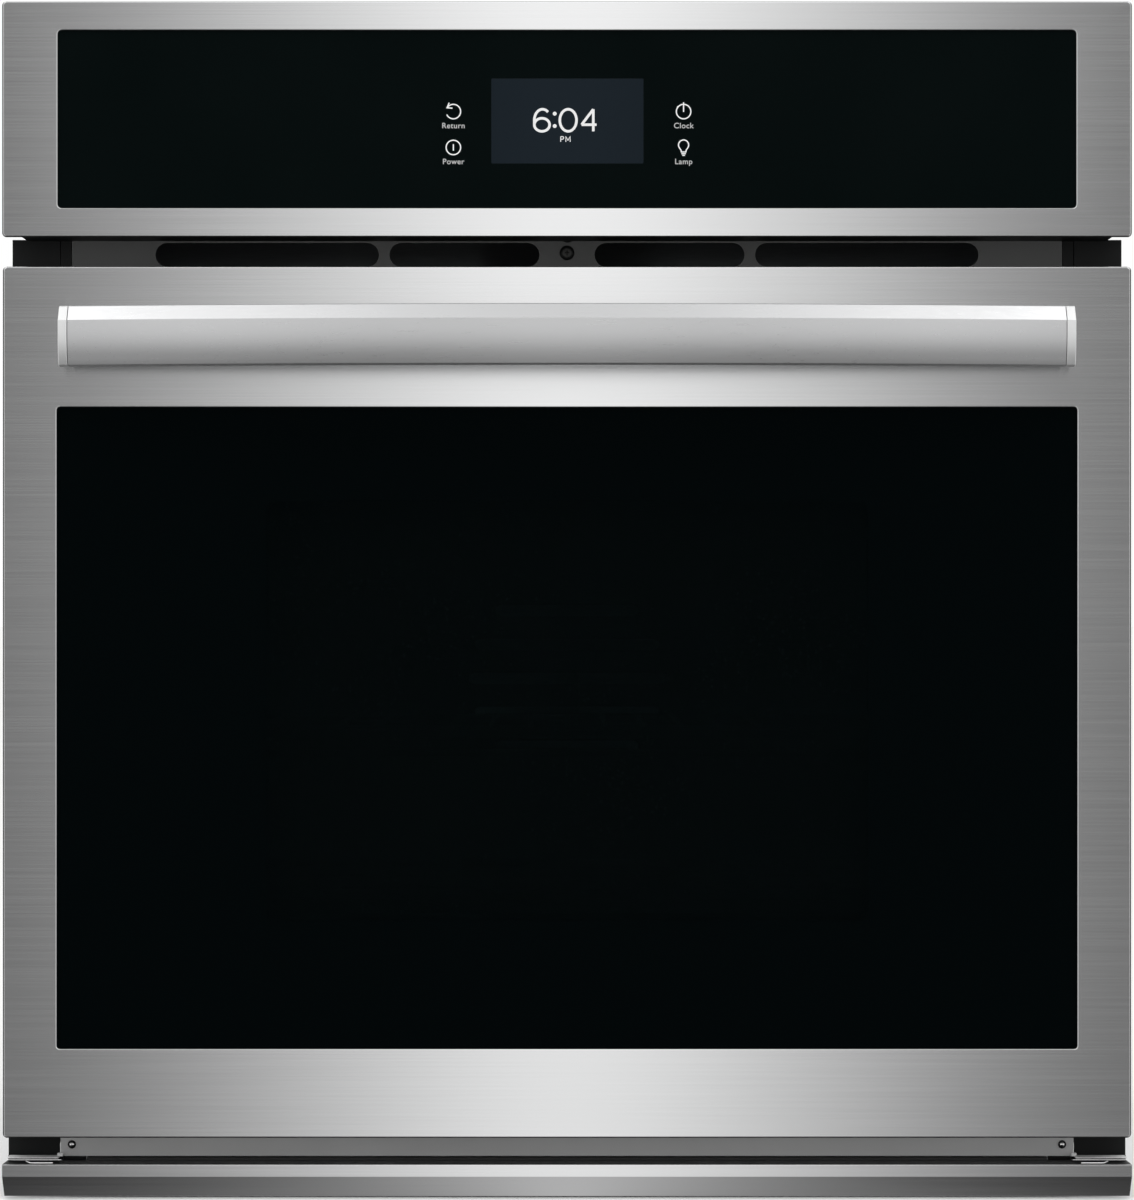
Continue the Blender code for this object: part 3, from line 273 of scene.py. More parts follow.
def raise_surface(tree, shader, height, distance, strength=1.0):
    bump = add(tree, "Bump", {"Height": height, "Distance": distance, "Strength": strength})
    tree.links.new(bump.outputs["Normal"], shader.inputs["Normal"])


def colours(tree, shader, factor, dark, light):
    """The base colour runs from dark to light with the factor."""
    feed(tree, shader, {"Base Color": ramp(tree, factor, ((0.3, dark), (0.7, light)))})


def off_middle(tree, half, clamp=False):
    """The square of the distance from the middle of the width, 1 at a half width."""
    share = calc(tree, "DIVIDE", calc(tree, "ABSOLUTE", object_axes(tree)["X"]), half)
    return calc(tree, "POWER", share, 2.0, clamp=clamp)


def brushed_steel(name, dark, light, roughness, stretch, painted_end_shade=0.0):
    """Steel brushed along X: long fine streaks, and highlights drawn out across them. It can also be
    darkened towards the ends of the width as painted shade.
    """
    material, tree, shader = new_material(name)
    streaks = noise_at(tree, object_point(tree, (7, 1500, 1500)), detail=3.0)
    shades = ramp(tree, streaks, ((0.3, dark), (0.7, light)))
    # Painted shade: the base colour darkens towards the ends of the width.
    if painted_end_shade:
        level = calc(tree, "MULTIPLY_ADD", off_middle(tree, 0.34), -painted_end_shade, 1.0)
        end_shaded = add(tree, "VectorMath", {0: shades, "Scale": level}, operation="SCALE")
        shades = end_shaded.outputs["Vector"]
    tangent = add(tree, "Tangent", direction_type="RADIAL", axis="Z")
    inputs = {
        "Base Color": shades,
        "Roughness": between(tree, streaks, roughness - 0.02, roughness + 0.02),
        "Metallic": 1.0,
        "Anisotropic": stretch,
        "Anisotropic Rotation": 0.25,
        "Tangent": tangent.outputs["Tangent"],
    }
    feed(tree, shader, inputs)
    raise_surface(tree, shader, streaks, 0.000005)
    return material


def satin_steel(name, middle, ends, roughness):
    """A fine satin grain, whose shade runs from the middle of the width out to the ends as painted light.
    """
    material, tree, shader = new_material(name)
    grain = noise_at(tree, object_point(tree, (25, 1100, 1100)), detail=3.0)
    cloud = noise_at(tree, object_point(tree), 14.0)
    spread = calc(tree, "MULTIPLY_ADD", off_middle(tree, 0.30, clamp=True), 0.4, 0.25)
    colours(tree, shader, calc(tree, "MULTIPLY_ADD", cloud, 0.1, spread), middle, ends)
    rough = between(tree, grain, roughness - 0.03, roughness + 0.03)
    feed(tree, shader, {"Roughness": rough, "Metallic": 1.0})
    raise_surface(tree, shader, grain, 0.000003)
    return material


def plated_steel(name, dark, light, roughness):
    """Machined or plated metal with faint stains and a fine even grain."""
    material, tree, shader = new_material(name)
    stain = noise_at(tree, object_point(tree), 60.0, 5.0)
    grain = noise_at(tree, object_point(tree), 1800.0)
    colours(tree, shader, stain, dark, light)
    rough = between(tree, stain, roughness - 0.05, roughness + 0.08)
    feed(tree, shader, {"Roughness": rough, "Metallic": 1.0})
    raise_surface(tree, shader, grain, 0.00001)
    return material


def grained(name, cloud, stops, grain, rough, relief, inputs=None):
    """A surface whose shade follows one noise, and whose gloss and relief follow a finer one.

    A noise is (scale, detail), rough is (lowest, highest) and relief is (height, strength).
    """
    material, tree, shader = new_material(name)
    shades = ramp(tree, noise_at(tree, object_point(tree), *cloud), stops)
    grain = noise_at(tree, object_point(tree), *grain)
    feed(tree, shader, {"Base Color": shades, "Roughness": between(tree, grain, *rough)})
    feed(tree, shader, inputs or {})
    raise_surface(tree, shader, grain, *relief)
    return material


def painted_steel(name, dark, light, roughness, gloss=0.5):
    """Powder coat: an even colour over a soft orange-peel surface."""
    stops = ((0.3, dark), (0.7, light))
    rough = (roughness - 0.04, roughness + 0.06)
    specular = {"Specular IOR Level": gloss}
    return grained(name, (9.0, 4.0), stops, (700.0, 2.0), rough, (0.00006, 0.6), specular)


def moulded_plastic(name, dark, light):
    stops = ((0.3, dark), (0.7, light))
    return grained(name, (20.0, 2.0), stops, (1300.0, 3.0), (0.42, 0.55), (0.00005, 0.7))


def heater_sheath():
    """An oxidised sheath: dark grey with blue and straw heat tints."""
    stops = (
        (0.30, (0.050, 0.052, 0.062)),
        (0.50, (0.085, 0.078, 0.070)),
        (0.70, (0.125, 0.100, 0.075)),
    )
    grain = (900.0, 3.0)
    relief = (0.00006, 0.6)
    metal = {"Metallic": 0.7}
    return grained("heater_sheath", (26.0, 4.0), stops, grain, (0.42, 0.62), relief, metal)


def galvanised_steel():
    """Zinc spangle: angular crystals of differing brightness and gloss, with rub marks."""
    material, tree, shader = new_material("galvanised")
    point = object_point(tree)
    bend = add(tree, "TexNoise", {"Vector": point, "Scale": 120.0, "Detail": 2.0}).outputs["Color"]
    spread = add(tree, "VectorMath", {0: bend, "Scale": 0.005}, operation="SCALE")
    warped = add(tree, "VectorMath", {0: point, 1: spread.outputs["Vector"]}, operation="ADD")
    cells = add(tree, "TexVoronoi", {"Vector": warped.outputs["Vector"], "Scale": 130.0})
    crystal = add(tree, "SeparateColor", {0: cells.outputs["Color"]})
    rubs = noise_at(tree, object_point(tree, (10, 10, 260)), detail=4.0)
    both = calc(tree, "MULTIPLY_ADD", rubs, 0.45, product(tree, crystal.outputs[0], 0.5))
    shades = ramp(tree, both, ((0.1, (0.46, 0.475, 0.485)), (0.8, (0.57, 0.585, 0.595))))
    gloss = calc(tree, "MULTIPLY_ADD", crystal.outputs[1], 0.10, 0.36)
    feed(tree, shader, {"Base Color": shades, "Roughness": gloss, "Metallic": 1.0})
    raise_surface(tree, shader, cells.outputs["Distance"], 0.00002)
    return material


def speckled_enamel():
    """Dark porcelain enamel: high gloss, slightly wavy, with pale specks."""
    material, tree, shader = new_material("speckled_enamel")
    point = object_point(tree)
    waves = noise_at(tree, point, 55.0)
    cells = add(tree, "TexVoronoi", {"Vector": point, "Scale": 330.0})
    chosen = add(tree, "SeparateColor", {0: cells.outputs["Color"]}).outputs
    fleck = calc(tree, "LESS_THAN", cells.outputs["Distance"], product(tree, chosen[0], 0.30))
    fleck = product(tree, fleck, calc(tree, "GREATER_THAN", chosen[1], 0.60))
    cloud = noise_at(tree, point, 11.0, 3.0)
    ground = ramp(tree, cloud, ((0.3, (0.020, 0.022, 0.028)), (0.7, (0.030, 0.033, 0.041))))
    speck = (0.34, 0.36, 0.40, 1.0)
    pale = add(tree, "Mix", {"Factor": fleck, "A": ground, "B": speck}, data_type="RGBA")
    inputs = {
        "Base Color": pale.outputs["Result"],
        "Roughness": between(tree, waves, 0.13, 0.22),
        "Coat Weight": 0.4,
        "Coat Roughness": 0.05,
    }
    feed(tree, shader, inputs)
    raise_surface(tree, shader, waves, 0.0004, 0.35)
    return material


def gloss_glass(name, dark, light, alpha=1.0):
    """Polished black glass, with the faintest haze of handling under its mirror gloss."""
    material, tree, shader = new_material(name)
    colours(tree, shader, noise_at(tree, object_point(tree), 13.0, 5.0), dark, light)
    inputs = {"Roughness": 0.0, "IOR": 1.45, "Specular IOR Level": 0.35, "Alpha": alpha}
    feed(tree, shader, inputs)
    return material, tree, shader


# The clear part of the door's outer glass, and the printed dots that fade into it
CLEAR_HALF = (0.1860, 0.1310)
CLEAR_CORNER = 0.0100
DOT_FADE = 0.0070
DOT_PITCH = 0.0016
CLEAR_ALPHA = 0.42
CLEAR_TINT = (0.0014, 0.0028, 0.0031)
BORDER_TINT = (0.0009, 0.0018, 0.0020)


def window_glass():
    """Black-backed glass whose middle is clear enough to see the racks faintly."""
    material, tree, shader = gloss_glass("window_glass", BORDER_TINT, BORDER_TINT)
    low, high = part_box("door_inner_glass")
    axes = object_axes(tree)
    x = calc(tree, "ABSOLUTE", axes["X"])
    z = calc(tree, "ABSOLUTE", calc(tree, "SUBTRACT", axes["Z"], (low.z + high.z) / 2))
    squares = []
    waves = []
    for value, half in zip((x, z), CLEAR_HALF):
        over = calc(tree, "SUBTRACT", value, half - CLEAR_CORNER)
        squares.append(calc(tree, "POWER", calc(tree, "MAXIMUM", over, 0.0), 2.0))
        waves.append(calc(tree, "COSINE", product(tree, value, FULL_TURN / DOT_PITCH)))
    reach = calc(tree, "SQRT", calc(tree, "ADD", *squares))
    fade = step_between(tree, reach, CLEAR_CORNER - DOT_FADE, CLEAR_CORNER)
    dots = calc(tree, "MULTIPLY_ADD", calc(tree, "ADD", *waves), 0.25, 0.5)
    printed = calc(tree, "GREATER_THAN", product(tree, fade, 1.02), dots)
    alpha = calc(tree, "MULTIPLY_ADD", printed, 1.0 - CLEAR_ALPHA, CLEAR_ALPHA)
    feed(tree, shader, {"Alpha": alpha})
    colours(tree, shader, printed, CLEAR_TINT, BORDER_TINT)
    return material


def clear_glass():
    return gloss_glass("clear_glass", (0.010, 0.014, 0.013), (0.014, 0.019, 0.017), 0.12)[0]


SCREEN_ROW = 0.0003
SCREEN_GLOW = (0.0096, 0.0150, 0.0192)


def display_face():
    """A dim screen: fine rows over a glow that falls off slightly to the sides."""
    material, tree, shader = new_material("display_face")
    axes = object_axes(tree)
    row = calc(tree, "SINE", product(tree, axes["Z"], FULL_TURN / SCREEN_ROW))
    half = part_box("display_module")[1].x
    falloff = calc(tree, "MULTIPLY_ADD", off_middle(tree, half), -0.10, 1.0)
    level = calc(tree, "MULTIPLY_ADD", row, 0.04, falloff)
    glow = add(tree, "VectorMath", {0: SCREEN_GLOW, "Scale": level}, operation="SCALE")
    inputs = {
        "Emission Color": glow.outputs["Vector"],
        "Emission Strength": 1.0,
        "Base Color": (0.002, 0.002, 0.003, 1.0),
        "Roughness": 0.0,
    }
    feed(tree, shader, inputs)
    return material


def lit_print(name, level):
    material, tree, shader = new_material(name)
    grain = noise_at(tree, object_point(tree), 4000.0, 1.0)
    inputs = {
        "Emission Color": ramp(tree, grain, ((0.3, level * 0.94), (0.7, level))),
        "Emission Strength": 1.0,
        "Base Color": (0.05, 0.05, 0.05, 1.0),
        "Roughness": 0.5,
    }
    feed(tree, shader, inputs)
    return material


TRACK_PITCH = 0.0032


def circuit_board():
    """Green solder mask with rows of paler tracks under it."""
    material, tree, shader = new_material("circuit_board")
    steps = noise_at(tree, object_point(tree, (60, 60, 60)), detail=0.0)
    lane = calc(tree, "MULTIPLY_ADD", steps, 0.02, object_axes(tree)["X"])
    track = calc(tree, "SINE", product(tree, lane, FULL_TURN / TRACK_PITCH))
    line = calc(tree, "GREATER_THAN", track, 0.45)
    shades = ramp(tree, line, ((0.0, (0.012, 0.10, 0.042)), (1.0, (0.030, 0.19, 0.085))))
    feed(tree, shader, {"Base Color": shades, "Roughness": 0.35})
    raise_surface(tree, shader, line, 0.00004)
    return material


def unglazed_ceramic():
    material, tree, shader = new_material("unglazed_ceramic")
    pits = add(tree, "TexVoronoi", {"Vector": object_point(tree), "Scale": 1100.0})
    cloud = noise_at(tree, object_point(tree), 70.0, 4.0)
    colours(tree, shader, cloud, (0.66, 0.63, 0.56), (0.80, 0.78, 0.72))
    feed(tree, shader, {"Roughness": 0.65})
    raise_surface(tree, shader, pits.outputs["Distance"], 0.00008, 0.6)
    return material


def fibrous(name, fibres, share, cloud, tints, inputs, relief):
    """Fibres that share the shade with a wide cloud. A noise is (stretch, scale, detail)."""
    material, tree, shader = new_material(name)
    stretch, *noise_size = fibres
    fibres = noise_at(tree, object_point(tree, stretch), *noise_size)
    cloud = noise_at(tree, object_point(tree), *cloud)
    both = calc(tree, "MULTIPLY_ADD", fibres, share, product(tree, cloud, 1.0 - share))
    colours(tree, shader, both, *tints)
    feed(tree, shader, inputs)
    raise_surface(tree, shader, fibres, *relief)
    return material


def glass_braid():
    """Woven glass-fibre yarn over a wire core."""
    tints = ((0.13, 0.125, 0.12), (0.31, 0.30, 0.28))
    matt = {"Roughness": 0.85, "Sheen Weight": 0.25}
    fibres = ((1, 1, 1), 1500.0, 4.0)
    return fibrous("glass_braid", fibres, 0.6, (30.0, 3.0), tints, matt, (0.00025, 0.8))


def mineral_wool():
    tints = ((0.50, 0.45, 0.30), (0.83, 0.80, 0.68))
    matt = {"Roughness": 0.95, "Sheen Weight": 0.3}
    fibres = ((1, 1, 3.5), 420.0, 6.0)
    return fibrous("mineral_wool", fibres, 0.55, (18.0, 4.0), tints, matt, (0.0012, 0.9))


# ---- Meshes


def mesh_from(name, build, angle=35):
    """A mesh with its normals facing out, smooth but for edges sharper than the angle."""
    bmesh.ops.recalc_face_normals(build, faces=build.faces)
    mesh = bpy.data.meshes.new(name)
    build.to_mesh(mesh)
    build.free()
    mesh.shade_smooth()
    mesh.set_sharp_from_angle(angle=math.radians(angle))
    return mesh


def even_out(obj):
    normals = obj.modifiers.new("even_normals", "WEIGHTED_NORMAL")
    normals.keep_sharp = True
    normals.weight = 100


def add_piece(name, data, material, body, replaced=(), even_normals=True):
    """A finished piece, in place, that rides on a body."""
    obj = bpy.data.objects.new(name, data)
    SCENE.collection.objects.link(obj)
    if not data.materials:
        data.materials.append(material)
    if even_normals and obj.type == "MESH":
        even_out(obj)
    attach(obj, body)
    if replaced:
        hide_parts(*replaced)
    return obj


def helper(mesh):
    obj = bpy.data.objects.new("helper", mesh)
    SCENE.collection.objects.link(obj)
    return obj


def evaluated(obj, name):
    """A new mesh from an object with its modifiers applied."""
    bpy.context.view_layer.update()
    graph = bpy.context.evaluated_depsgraph_get()
    made = bpy.data.meshes.new_from_object(obj.evaluated_get(graph))
    made.name = name
    return made


def combined(mesh, others, operation, angle=35):
    """The mesh after a Boolean with each of the others, which are used up."""
    base = helper(mesh)
    tools = [helper(other) for other in others]
    for tool in tools:
        step = base.modifiers.new("step", "BOOLEAN")
        step.operation = operation
        step.solver = "EXACT"
        step.object = tool
    made = evaluated(base, mesh.name)
    for obj in [base, *tools]:
        bpy.data.objects.remove(obj)
    made.shade_smooth()
    made.set_sharp_from_angle(angle=math.radians(angle))
    return made


def with_modifier(mesh, kind, **settings):
    """The mesh after one modifier."""
    obj = helper(mesh)
    step = obj.modifiers.new("step", kind)
    for name, value in settings.items():
        setattr(step, name, value)
    made = evaluated(obj, mesh.name)
    bpy.data.objects.remove(obj)
    return made


def grown(span, amount):
    return (span[0] - amount, span[1] + amount)


def rounded_loop(x, z, radius, y, steps=6):
    """The points of a rounded rectangle in a plane that faces the front."""
    corners = (
        (x[1] - radius, z[1] - radius, 0),
        (x[0] + radius, z[1] - radius, 90),
        (x[0] + radius, z[0] + radius, 180),
        (x[1] - radius, z[0] + radius, 270),
    )
    points = []
    for centre_x, centre_z, start in corners:
        for i in range(steps + 1):
            angle = math.radians(start + 90 * i / steps)
            points.append((centre_x + radius * math.cos(angle), y, centre_z + radius * math.sin(angle)))
    return points


def stadium_loop(x, z, y, steps=10):
    return rounded_loop(x, z, min(x[1] - x[0], z[1] - z[0]) / 2 - 1e-6, y, steps)


def skin_faces(build, loops, closed):
    """Faces between successive loops of equally many points. A closed skin joins the last to the first."""
    rings = [[build.verts.new(point) for point in loop] for loop in loops]
    following = rings[1:] + rings[:1] if closed else rings[1:]
    for near, far in zip(rings, following):
        for i in range(len(near)):
            build.faces.new((near[i - 1], near[i], far[i], far[i - 1]))
    return rings


def capped_skin(build, loops):
    rings = skin_faces(build, loops, closed=False)
    build.faces.new(rings[0])
    build.faces.new(rings[-1])


def quarter_round(radius, steps):
    """Successive distances from the side and from the front, round a quarter circle."""
    spots = []
    for i in range(steps + 1):
        angle = math.pi / 2 * i / steps
        spots.append((radius * (1 - math.cos(angle)), radius * (1 - math.sin(angle))))
    return spots


def rounded_slab(build, x, z, corner, near, far, edge=0.0003, steps=3):
    """A slab between two Y values that faces the front, with its front edge rounded."""
    loops = [rounded_loop(x, z, corner, far)]
    for inset, depth in quarter_round(edge, steps):
        radius = max(corner - inset, 1e-5)
        loops.append(rounded_loop(grown(x, -inset), grown(z, -inset), radius, near + depth))
    capped_skin(build, loops)


def box_mesh(x, y, z):
    build = bmesh.new()
    bmesh.ops.create_cube(build, size=1.0)
    size = (x[1] - x[0], y[1] - y[0], z[1] - z[0])
    middle = (sum(x) / 2, sum(y) / 2, sum(z) / 2)
    bmesh.ops.scale(build, vec=size, verts=build.verts)
    bmesh.ops.translate(build, vec=middle, verts=build.verts)
    return mesh_from("box", build)


def block(side, x, depths, z):
    """A box on one side, between distances from the middle, behind the door's face and up."""
    return box_mesh(sorted(side * value for value in x), [at(depth) for depth in depths], z)


def prism_mesh(outline, axis, near, far):
    """An outline of two coordinates drawn out along the third axis, 0 for X, 1 for Y or 2 for Z."""
    loops = []
    for level in (near, far):
        loops.append([(*point[:axis], level, *point[axis:]) for point in outline])
    build = bmesh.new()
    capped_skin(build, loops)
    return mesh_from("prism", build)


def turned_mesh(name, profile, steps=24):
    """A body turned about Z from (radius, height) points that start and end on the axis."""
    build = bmesh.new()
    rings = []
    for radius, height in profile[1:-1]:
        ring = []
        for i in range(steps):
            angle = FULL_TURN * i / steps
            ring.append(build.verts.new((radius * math.cos(angle), radius * math.sin(angle), height)))
        rings.append(ring)
    for near, far in zip(rings, rings[1:]):
        for i in range(steps):
            build.faces.new((near[i - 1], near[i], far[i], far[i - 1]))
    for ring, (_, height) in ((rings[0], profile[0]), (rings[-1], profile[-1])):
        tip = build.verts.new((0, 0, height))
        for i in range(steps):
            build.faces.new((ring[i - 1], ring[i], tip))
    return mesh_from(name, build)


def rounded_corners(points, radius, steps=4):
    """A closed outline whose real corners are rounded, as far as their sides allow."""
    made = []
    count = len(points)
    for i in range(count):
        here = Vector(points[i])
        before = Vector(points[i - 1]) - here
        after = Vector(points[(i + 1) % count]) - here
        turn = math.pi - before.angle(after)
        if turn < math.radians(14):
            made.append(tuple(here))
            continue
        cut_back = min(radius * math.tan(turn / 2), 0.45 * before.length, 0.45 * after.length)
        start = here + before.normalized() * cut_back
        end = here + after.normalized() * cut_back
        for k in range(steps + 1):
            t = k / steps
            made.append(tuple(start * (1 - t) ** 2 + here * 2 * t * (1 - t) + end * t**2))
    return made


def turned_path(points, radius, steps=8, closed=False):
    """A path of straight runs whose corners are turned with a radius."""
    corners = [Vector(point) for point in points]
    count = len(corners)
    path = []
    for i, corner in enumerate(corners):
        if not closed and i in (0, count - 1):
            path.append(corner)
            continue
        before = (corners[i - 1] - corner).normalized()
        after = (corners[(i + 1) % count] - corner).normalized()
        half = before.angle(after) / 2
        middle = corner + (before + after).normalized() * radius / math.sin(half)
        start = (corner + before * radius / math.tan(half) - middle).normalized()
        end = (corner + after * radius / math.tan(half) - middle).normalized()
        for step in range(steps + 1):
            path.append(middle + start.slerp(end, step / steps) * radius)
    return path


def wire_curve(name, routes, radius, fineness=4):
    """Round wires of one thickness. Each route is (points, closed)."""
    curve = bpy.data.curves.new(name, "CURVE")
    curve.dimensions = "3D"
    for points, closed in routes:
        spline = curve.splines.new("POLY")
        spline.points.add(len(points) - 1)
        for spot, point in zip(spline.points, points):
            spot.co = (*point, 1.0)
        spline.use_cyclic_u = closed
        spline.use_smooth = True
    curve.bevel_depth = radius
    curve.bevel_resolution = fineness
    curve.use_fill_caps = True
    return curve


def paint_faces(mesh, materials, pick):
    """Gives each face the material whose number is picked from the face's normal and middle."""
    mesh.materials.clear()
    for material in materials:
        mesh.materials.append(material)
    for face in mesh.polygons:
        face.material_index = int(pick(face.normal, face.center))


# ---- Carried-over CAD nodes: welded, smoothed by angle and given fine rounded edges

SMOOTH_ANGLE = 38
WELD = 1e-5


def edge_cleaner():
    """A node group that welds the imported faces and marks sharp edges by their angle."""
    group = bpy.data.node_groups.new("edge_cleaner", "GeometryNodeTree")
    for way in ("INPUT", "OUTPUT"):
        group.interface.new_socket("Geometry", in_out=way, socket_type="NodeSocketGeometry")
    start = group.nodes.new("NodeGroupInput")
    weld = group.nodes.new("GeometryNodeMergeByDistance")
    weld.inputs["Distance"].default_value = WELD
    plain = group.nodes.new("GeometryNodeRemoveAttribute")
    plain.inputs["Name"].default_value = "custom_normal"
    faces = group.nodes.new("GeometryNodeSetShadeSmooth")
    edges = group.nodes.new("GeometryNodeSetShadeSmooth")
    edges.domain = "EDGE"
    end = group.nodes.new("NodeGroupOutput")
    chain = (start, weld, plain, faces, edges, end)
    for near, far in zip(chain, chain[1:]):
        group.links.new(near.outputs[0], far.inputs[0])
    angle = group.nodes.new("GeometryNodeInputMeshEdgeAngle")
    shallow = group.nodes.new("FunctionNodeCompare")
    shallow.operation = "LESS_THAN"
    shallow.inputs["B"].default_value = math.radians(SMOOTH_ANGLE)
    group.links.new(angle.outputs["Unsigned Angle"], shallow.inputs["A"])
    group.links.new(shallow.outputs["Result"], edges.inputs["Shade Smooth"])
    return group


CLEANER = edge_cleaner()


def dress(node, material, edge):
    """A carried-over node gets its material and, where edge isn't 0, rounded edges."""
    obj = NODES[node]
    obj.data.materials.clear()
    obj.data.materials.append(material)
    clean = obj.modifiers.new("clean", "NODES")
    clean.node_group = CLEANER
    if edge:
        bevel = obj.modifiers.new("edges", "BEVEL")
        bevel.width = edge
        bevel.segments = 2
        bevel.limit_method = "ANGLE"
        bevel.angle_limit = math.radians(SMOOTH_ANGLE)
    even_out(obj)


# ---- Front: control panel and door skins

SKIN_CORNER = 0.0026
SKIN_EDGE = 0.0011
SKIN_STEPS = 5
WINDOW_LIP = 0.0006
PANEL_WINDOW = ((-0.3092, 0.3092), (0.6014, 0.7095))
PANEL_WINDOW_CORNER = 0.0025
DOOR_WINDOW = ((-0.3098, 0.3098), (0.0910, 0.4807))
DOOR_WINDOW_CORNER = 0.0020
BEND_TURN = 0.42


def face_skin(name, node, window, window_corner):
    """A folded sheet-metal front with a window: rounded outside, and turned in at the window."""
    low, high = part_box(node)
    x = (low.x, high.x)
    z = (low.z, high.z)
    inside = low.y + SHEET
    loops = [rounded_loop(x, z, SKIN_CORNER, high.y)]
    for inset, depth in quarter_round(SKIN_EDGE, SKIN_STEPS):
        corner = SKIN_CORNER - inset
        loops.append(rounded_loop(grown(x, -inset), grown(z, -inset), corner, low.y + depth))
    for depth, outset in quarter_round(WINDOW_LIP, SKIN_STEPS):
        spans = [grown(span, outset) for span in window]
        loops.append(rounded_loop(*spans, window_corner + outset, low.y + depth))
    loops.append(rounded_loop(*window, window_corner, inside))
    for y in (inside, high.y):
        loops.append(rounded_loop(grown(x, -SHEET), grown(z, -SHEET), SKIN_CORNER - SHEET, y))
    build = bmesh.new()
    skin_faces(build, loops, closed=True)
    return mesh_from(name, build)


def bend_shade_test(node):
    """A test for the faces of a skin's outer bend, at the sides and along the bottom, which take the black
    finish as painted shade.
    """
    low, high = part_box(node)
    edge = 1.1 * SKIN_EDGE

    def chosen(normal, middle):
        at_side = abs(middle.x) > high.x - edge and abs(normal.x) > BEND_TURN
        at_foot = middle.z < low.z + edge and normal.z < -BEND_TURN
        return middle.y < low.y + edge and (at_side or at_foot)

    return chosen


# The panel's lower return stops short of the mounting flanges
NOTCH_X = (0.3310, 0.3500)
NOTCH_DEPTHS = (0.0016, 0.0450)
NOTCH_BELOW = 0.0020
NOTCH_ABOVE = 0.0032
RETURN_TOP = 0.59


def make_control_panel(steel, dark):
    """The panel's tray, notched at its lower corners, with painted shade in black on its downward lower
    return and on its outer bend.
    """
    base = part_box("control_panel_frame")[0].z
    mesh = face_skin("control_panel_skin", "control_panel_frame", PANEL_WINDOW, PANEL_WINDOW_CORNER)
    span = (base - NOTCH_BELOW, base + NOTCH_ABOVE)
    notches = [block(side, NOTCH_X, NOTCH_DEPTHS, span) for _, side in SIDES]
    mesh = combined(mesh, notches, "DIFFERENCE")
    in_shaded_bend = bend_shade_test("control_panel_frame")

    def painted_shade_faces(normal, middle):
        return in_shaded_bend(normal, middle) or (normal.z < -0.9 and middle.z < RETURN_TOP)

    # The picked faces take the black finish as painted shade.
    paint_faces(mesh, (steel, dark), painted_shade_faces)
    add_piece("control_panel_skin", mesh, steel, "chassis", ["control_panel_frame"])


# The door's cut-outs: behind the slanted heel, at the hinges and for air along the top
HEEL_DEPTHS = (0.0220, 0.0360)
HEEL_TOP = 0.0300
HEEL_REAR = 0.0502
HINGE_X = 0.2870
HINGE_SLOT_HALF = 0.0055
HINGE_SLOT_DEPTHS = (0.0085, 0.0340)
HINGE_SLOT_Z = (0.0340, 0.0400)
AIR_SLOT_PITCH = 0.060
AIR_SLOT_HALF = 0.020
AIR_SLOT_DEPTHS = (0.012, 0.018)
AIR_SLOTS_EACH_SIDE = 4


def make_door_skin(steel, dark):
    """The door's outer sheet, cut for the hinges, the slanted heel and the air slots on top."""
    low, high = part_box("door_frame")
    mesh = face_skin("door_skin", "door_frame", DOOR_WINDOW, DOOR_WINDOW_CORNER)
    near, far = [at(depth) for depth in HEEL_DEPTHS]
    heel = [(near, HEEL_TOP), (far, HEEL_TOP), (far, HEEL_REAR), (near, low.z)]
    cutters = [prism_mesh(heel, 0, low.x - 0.01, high.x + 0.01)]
    hinge_x = (HINGE_X - HINGE_SLOT_HALF, HINGE_X + HINGE_SLOT_HALF)
    for _, side in SIDES:
        cutters.append(block(side, hinge_x, HINGE_SLOT_DEPTHS, HINGE_SLOT_Z))
    for column in range(-AIR_SLOTS_EACH_SIDE, AIR_SLOTS_EACH_SIDE + 1):
        middle = AIR_SLOT_PITCH * column
        loop = stadium_loop((middle - AIR_SLOT_HALF, middle + AIR_SLOT_HALF), AIR_SLOT_DEPTHS, 0)
        outline = [(x, at(depth)) for x, _, depth in loop]
        cutters.append(prism_mesh(outline, 2, high.z - 0.006, high.z + 0.004))
    mesh = combined(mesh, cutters, "DIFFERENCE")
    # The outer bend at the sides and along the bottom takes the black finish as painted shade.
    paint_faces(mesh, (steel, dark), bend_shade_test("door_frame"))
    add_piece("door_skin", mesh, steel, "door", ["door_frame"])


# ---- The display and the printed touch keys, just in front of the control glass

PRINT_STEP = 0.00004
DISPLAY_X = (-0.0459, 0.0464)
DISPLAY_Z = (0.6286, 0.6801)


def print_plane(layer=1):
    """The Y coordinate of a printed layer in front of the glass."""
    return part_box("control_glass")[0].y - layer * PRINT_STEP


def oval(centre, reach, start=0, end=360, steps=36):
    """Points (x, z) along part of an ellipse, whose angles are in degrees from +X."""
    points = []
    for i in range(steps + 1):
        angle = math.radians(start + (end - start) * i / steps)
        points.append((centre[0] + reach[0] * math.cos(angle), centre[1] + reach[1] * math.sin(angle)))
    return points


